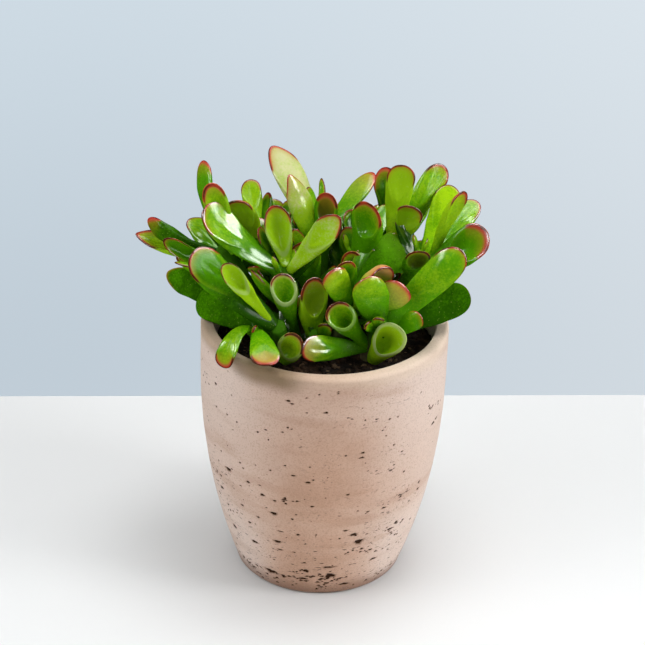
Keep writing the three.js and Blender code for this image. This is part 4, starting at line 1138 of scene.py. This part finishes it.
def leaf_skin(shoot, leaf, name, mesh):
    """A leaf's skin in its place, with its thick rounded lip, its shallow dents and its marks."""
    chance = random.Random(name)
    sides, outer_rings, inner_rings = mesh
    blunt, width, half_width = leaf["blunt"], leaf["width"], leaf["width"] / 2
    made = EDGES[blunt]
    angle = np.linspace(math.pi, 3 * math.pi, sides, endpoint=False)
    forward = np.cos(angle)
    lip = min(made["lip"], made["most"] * width) / half_width
    outer = 1 - (1 - np.linspace(0, 1, outer_rings + 1)) ** made["gather"]
    over_lip = np.array([0.25, 0.5, 0.75])
    face = len(outer) + len(over_lip)
    inward = np.linspace(0, 0.985, inner_rings) ** 1.25
    sunk = 1 - (1 - inward) ** 2 if blunt else soft_step(inward, -0.15, 1)
    share = np.concatenate([outer, np.ones(len(over_lip)), 1 - max(0, leaf["hollow"]) * sunk])
    shrink = np.concatenate([np.ones(len(outer)), 1 - lip * over_lip, (1 - lip) * (1 - inward)])
    rings = leaf_rings(leaf, share, shrink, angle)

    def on_face(values):
        return np.concatenate([np.zeros(face), values])

    # The lip stands proud, the face swells inside it, and a crease or a ridge runs down its middle.
    _, half_x, _, _, half_z = leaf_section(leaf, np.array(1.0))
    face_up = np.array([-half_z, 0, half_x]) / math.hypot(half_x, half_z)
    lip_height = made["proud"] * (1 if blunt else soft_step(forward, -0.9, 0.3))
    over = np.concatenate([np.zeros(len(outer)), over_lip, (1 - inward) ** 2])
    shoulder = 1 - (1 - np.minimum(1, inward / 0.85)) ** 2
    crown = on_face(sunk) * max(0, -leaf["hollow"]) * width + on_face(shoulder) * leaf["full"] * width
    along = rings[..., 0] / leaf["length"]
    dip = np.exp(-((rings[..., 1] / (0.2 * half_width)) ** 2)) * soft_step(along, leaf["heel"], 0.6)
    dip = dip * (1 - soft_step(along, 0.82, 0.97)) * on_face(soft_step(inward, 0, 0.5))[:, None]
    dip = dip * leaf["groove"] * MM
    rings = rings + (over[:, None] * lip_height + crown[:, None] - dip)[..., None] * face_up

    # Shallow dents, where a few waves cross.
    past_stalk = soft_step(along, 0.15, 0.5)
    for _ in range(DENT_WAVES):
        wave_x, wave_y = (chance.uniform(-1, 1) * 2 * math.pi / DENT_LENGTH for _ in range(2))
        swell = np.sin(rings[..., 0] * wave_x + rings[..., 1] * wave_y + chance.uniform(0, 6.3))
        rings[..., 2] += 0.11 * MM * swell * past_stalk
        rings[..., 1] += 0.08 * MM * np.sin(rings[..., 0] * wave_y + chance.uniform(0, 6.3)) * past_stalk

    # The rings near the lip are eased, which rounds it. A finer mesh needs more passes for the same round.
    fine = outer_rings / LARGE_MESH[1]
    first = len(outer) - round(made["below"] * fine)
    last = face + round(made["inside"] * inner_rings)
    for _ in range(round(made["passes"] * fine ** 2)):
        eased = 0.25 * rings[first - 1:last - 1] + 0.5 * rings[first:last] + 0.25 * rings[first + 1:last + 1]
        rings[first:last] = eased

    crest = len(outer) + made["crest"]
    steps = np.linalg.norm(np.diff(rings, axis=0), axis=2) / MM
    from_root = np.concatenate([np.zeros((1, sides)), np.cumsum(steps, axis=0)])
    marks = {
        "edge": from_root - from_root[crest],
        "tipward": np.broadcast_to(forward, from_root.shape),
        "along": along,
        "tone": leaf["tone"] + chance.uniform(-0.08, 0.08),
    }
    for mark in ("red", "gloss", "rim", "blush", "fade", "stain"):
        marks[mark] = leaf[mark]
    root, turn = (place_by_sight if leaf["tip"] else place_by_heading)(shoot, leaf)
    turn, root = np.array(turn), np.array(root)
    middle = rings[-1].mean(0)
    placed = [bent_leaf(leaf, points) @ turn.T + root for points in (rings, np.zeros(3), middle)]
    return skin(*placed, marks)


LEAF_DARK = (0.016, 0.070, 0.001, 1)
LEAF_GREEN = (0.075, 0.270, 0.001, 1)
LEAF_LIGHT = (0.290, 0.500, 0.006, 1)
LEAF_PALE_SHEEN = (0.52, 0.52, 0.25, 1)
LEAF_RED = (0.380, 0.016, 0.014, 1)
LEAF_WINE = (0.055, 0.004, 0.007, 1)
LEAF_PINK = (0.60, 0.12, 0.09, 1)
LEAF_ORANGE = (0.40, 0.22, 0.015, 1)
LEAF_LIP = (0.40, 0.50, 0.18, 1)
LEAF_BLUSH = (0.78, 0.27, 0.15, 1)
LEAF_STAIN = (0.11, 0.055, 0.008, 1)
LEAF_PORE = (0.42, 0.50, 0.12, 1)


def leaf_finish(name, yellow):
    """Waxy green skin: mottled, dotted with pale pores, and red along the lip round the tip."""
    waxy = Finish(name, {
        "Specular IOR Level": 0.0,
        "Subsurface Weight": 0.10,
        "Subsurface Radius": (0.7, 1.0, 0.1),
        "Subsurface Scale": 0.0022,
        "Coat Roughness": 0.18,
        "Coat IOR": 1.45,
    })
    edge, tipward, along = (waxy.mark(name) for name in ("edge", "tipward", "along"))
    mottling = waxy.noise(170, 3)
    blotches = waxy.noise(60, 2)
    cells = waxy.noise(1400, 2)
    fine_grain = waxy.noise(760, 3)
    pore = 1 - waxy.ramp(waxy.dots(560), 0.07, 0.16)

    # How light the green is: mottled, with painted shade that darkens it towards the stalk and low in the
    # plant.
    shade = waxy.mark("tone") + (mottling - 0.5) * 0.5 + (blotches - 0.5) * 0.6 + yellow
    shade = shade + (fine_grain - 0.5) * 0.75 + (cells - 0.5) * 0.35
    shade = shade - waxy.mark("fade") * (1 - waxy.ramp(along, 0.15, 0.8))
    shade = shade + 0.5 * waxy.ramp(waxy.axis("Z"), 0.140, 0.190) - 0.24

    # The lip round the tip: wine at its crest, then red and pink, with an orange halo. "away" is how far a
    # place is from the crest in millimetres, and "spread" the same over the red's own width.
    away = abs(edge) + (mottling - 0.5) * 0.5
    round_tip = waxy.ramp(tipward + (blotches - 0.5) * 1.1, 0.05, 0.95)
    spread = away / ((0.25 + 0.62 * round_tip) * waxy.mark("red") + 0.01)
    red = (1 - waxy.ramp(spread, 0.4, 1.5)) * waxy.ramp(round_tip, 0.02, 0.35)
    halo = (1 - waxy.ramp(spread, 0.8, 4.2)) * waxy.ramp(round_tip, 0.05, 0.7)
    crimson = waxy.coated(LEAF_WINE, [
        (waxy.ramp(away + (mottling - 0.5) * 2.2, 0.05, 0.75), LEAF_RED),
        (waxy.ramp(away, 0.5, 1.4) * 0.30, LEAF_PINK),
    ])

    # Away from the tip the lip is pale green, partly its own colour and partly painted light on the raised
    # lip, and the face beside it is lighter with a painted glow of light shining through.
    past_heel = waxy.ramp(tipward, -0.9, -0.2)
    pale_lip = (1 - waxy.ramp(away, 0.7, 2.4)) * waxy.mark("rim")
    margin_glow = (1 - waxy.ramp(away + (blotches - 0.5) * 3, 0.6, 4.0)) * waxy.ramp(edge, 0.3, 1.0) * past_heel
    blushed = waxy.ramp(tipward + (blotches - 0.5) * 0.9, 0.0, 0.9) * waxy.ramp(along, 0.4, 0.95)
    colour = waxy.coated(LEAF_DARK, [
        (waxy.ramp(shade, -0.9, 0.05), LEAF_GREEN),
        (waxy.ramp(shade, -0.05, 0.75), LEAF_LIGHT),
        # The palest green is partly the leaf's own pale colour and partly painted sheen.
        (waxy.ramp(shade, 0.85, 1.6), LEAF_PALE_SHEEN),
        (pore * 0.36, LEAF_PORE),
        (pale_lip, LEAF_LIP),
        (margin_glow * 0.3, LEAF_LIGHT),
        (blushed * waxy.mark("blush"), LEAF_BLUSH),
        (waxy.ramp(edge, 0.8, 3.5) * waxy.mark("stain"), LEAF_STAIN),
        (halo * 0.38, LEAF_ORANGE),
        (red * 0.95, crimson),
    ])

    # The wax shines by the leaf's own gloss, and more along its lip. Only a shiny leaf shows fine wrinkles.
    gloss = waxy.mark("gloss") + (1 - waxy.ramp(away, 0.6, 1.6)) * past_heel * 0.35
    wrinkles = waxy.noise(300, 4) * gloss * gloss
    waxy.feed(waxy.shader, {
        "Base Color": colour,
        "Roughness": 0.32 + mottling * 0.16 + pore * 0.1,
        "Coat Weight": gloss,
        "Normal": waxy.bump(cells * 0.35 + mottling * 1.1 + wrinkles * 3.2 - pore * 0.25, 0.00035, 0.5),
    })
    return waxy


WAXY = leaf_finish("waxy_leaf", 0.0)
YOUNG = leaf_finish("young_leaf", 0.1)
for shoot, (large, small) in LEAVES.items():
    for number, leaf in enumerate(large, 1):
        node = f"leaf_{shoot}_{number}"
        finish = YOUNG if leaf["young"] else WAXY
        piece = add_piece("fine_" + node, [leaf_skin(shoot, leaf, node, LARGE_MESH)], finish)
        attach(piece, "root")
        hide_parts(node)
    if small:
        skins = [leaf_skin(shoot, leaf, f"{shoot} small {n}", SMALL_MESH) for n, leaf in enumerate(small)]
        piece = add_piece("small_leaves_" + shoot, skins, WAXY)
        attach(piece, "root")
        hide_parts("stem_" + shoot)


# --- The inner leaves --------------------------------------------------------------------------------------
# Between the long outer leaves each shoot carries pairs of short young leaves, each pair at right angles to
# the one below. They fill the plant's dark middle. Most crowns carry a pair of buds that has just opened.

PAIR_HEIGHTS = (0.2, 0.36, 0.52, 0.68, 0.84)
INNER_LENGTH = 27
INNER_WIDTH = 10

# The shoots that stand clear at the front. Their inner leaves are shorter, and their crowns carry no buds.
OPEN_SHOOTS = ("front", "front_left", "rim_left", "front_right", "centre_right")

# Three more leaves stand half hidden behind the large ones.
HALF_HIDDEN = {
    "centre_right": [seen(0.5, (372, 243), "far", 0, 40, 14, "paddle", tone=-0.4, red=0.6)],
    "centre_back": [seen(0.5, (349, 226), "near", 0, 34, 11, "paddle", tone=-0.5, red=1.2)],
    "front": [seen(0.7, (318, 318), "far", 0, 20, 8, "paddle", tone=-0.6, red=0.8)],
}


def inner_leaves(shoot):
    """The short leaves of a shoot. A leaf that would stand out to the front is left off."""
    chance = random.Random("inner " + shoot)
    first = chance.uniform(0, 180)
    clear = shoot in OPEN_SHOOTS
    scale = 0.75 if clear else 1
    leaves = list(HALF_HIDDEN.get(shoot, []))
    for pair, at in enumerate(PAIR_HEIGHTS):
        for side in (0, 180):
            heading = first + 90 * pair + side + chance.uniform(-14, 14)
            rise = 22 + 40 * at + chance.uniform(-6, 6)
            length = INNER_LENGTH * scale * chance.uniform(0.85, 1.15)
            form = chance.choice(("paddle", "paddle", "spoon"))
            if math.sin(math.radians(heading)) > (0.25 if clear else -0.35):
                width = INNER_WIDTH * scale
                # Their dark tone is painted shade, for the plant's shaded middle.
                leaves.append(hidden(at, heading, rise, length, width, form, curve=10, tone=-0.9))
    if not clear:
        for side in (0, 180):
            length = chance.uniform(8, 11)
            leaves.append(hidden(1, first + 45 + side, 70, length, 4.5, "bud", tone=0.3, red=0.4))
    return leaves


for shoot in SHOOTS:
    leaves = inner_leaves(shoot)
    skins = [leaf_skin(shoot, leaf, f"{shoot} inner {n}", INNER_MESH) for n, leaf in enumerate(leaves)]
    piece = add_piece("inner_leaves_" + shoot, skins, WAXY)
    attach(piece, "root")
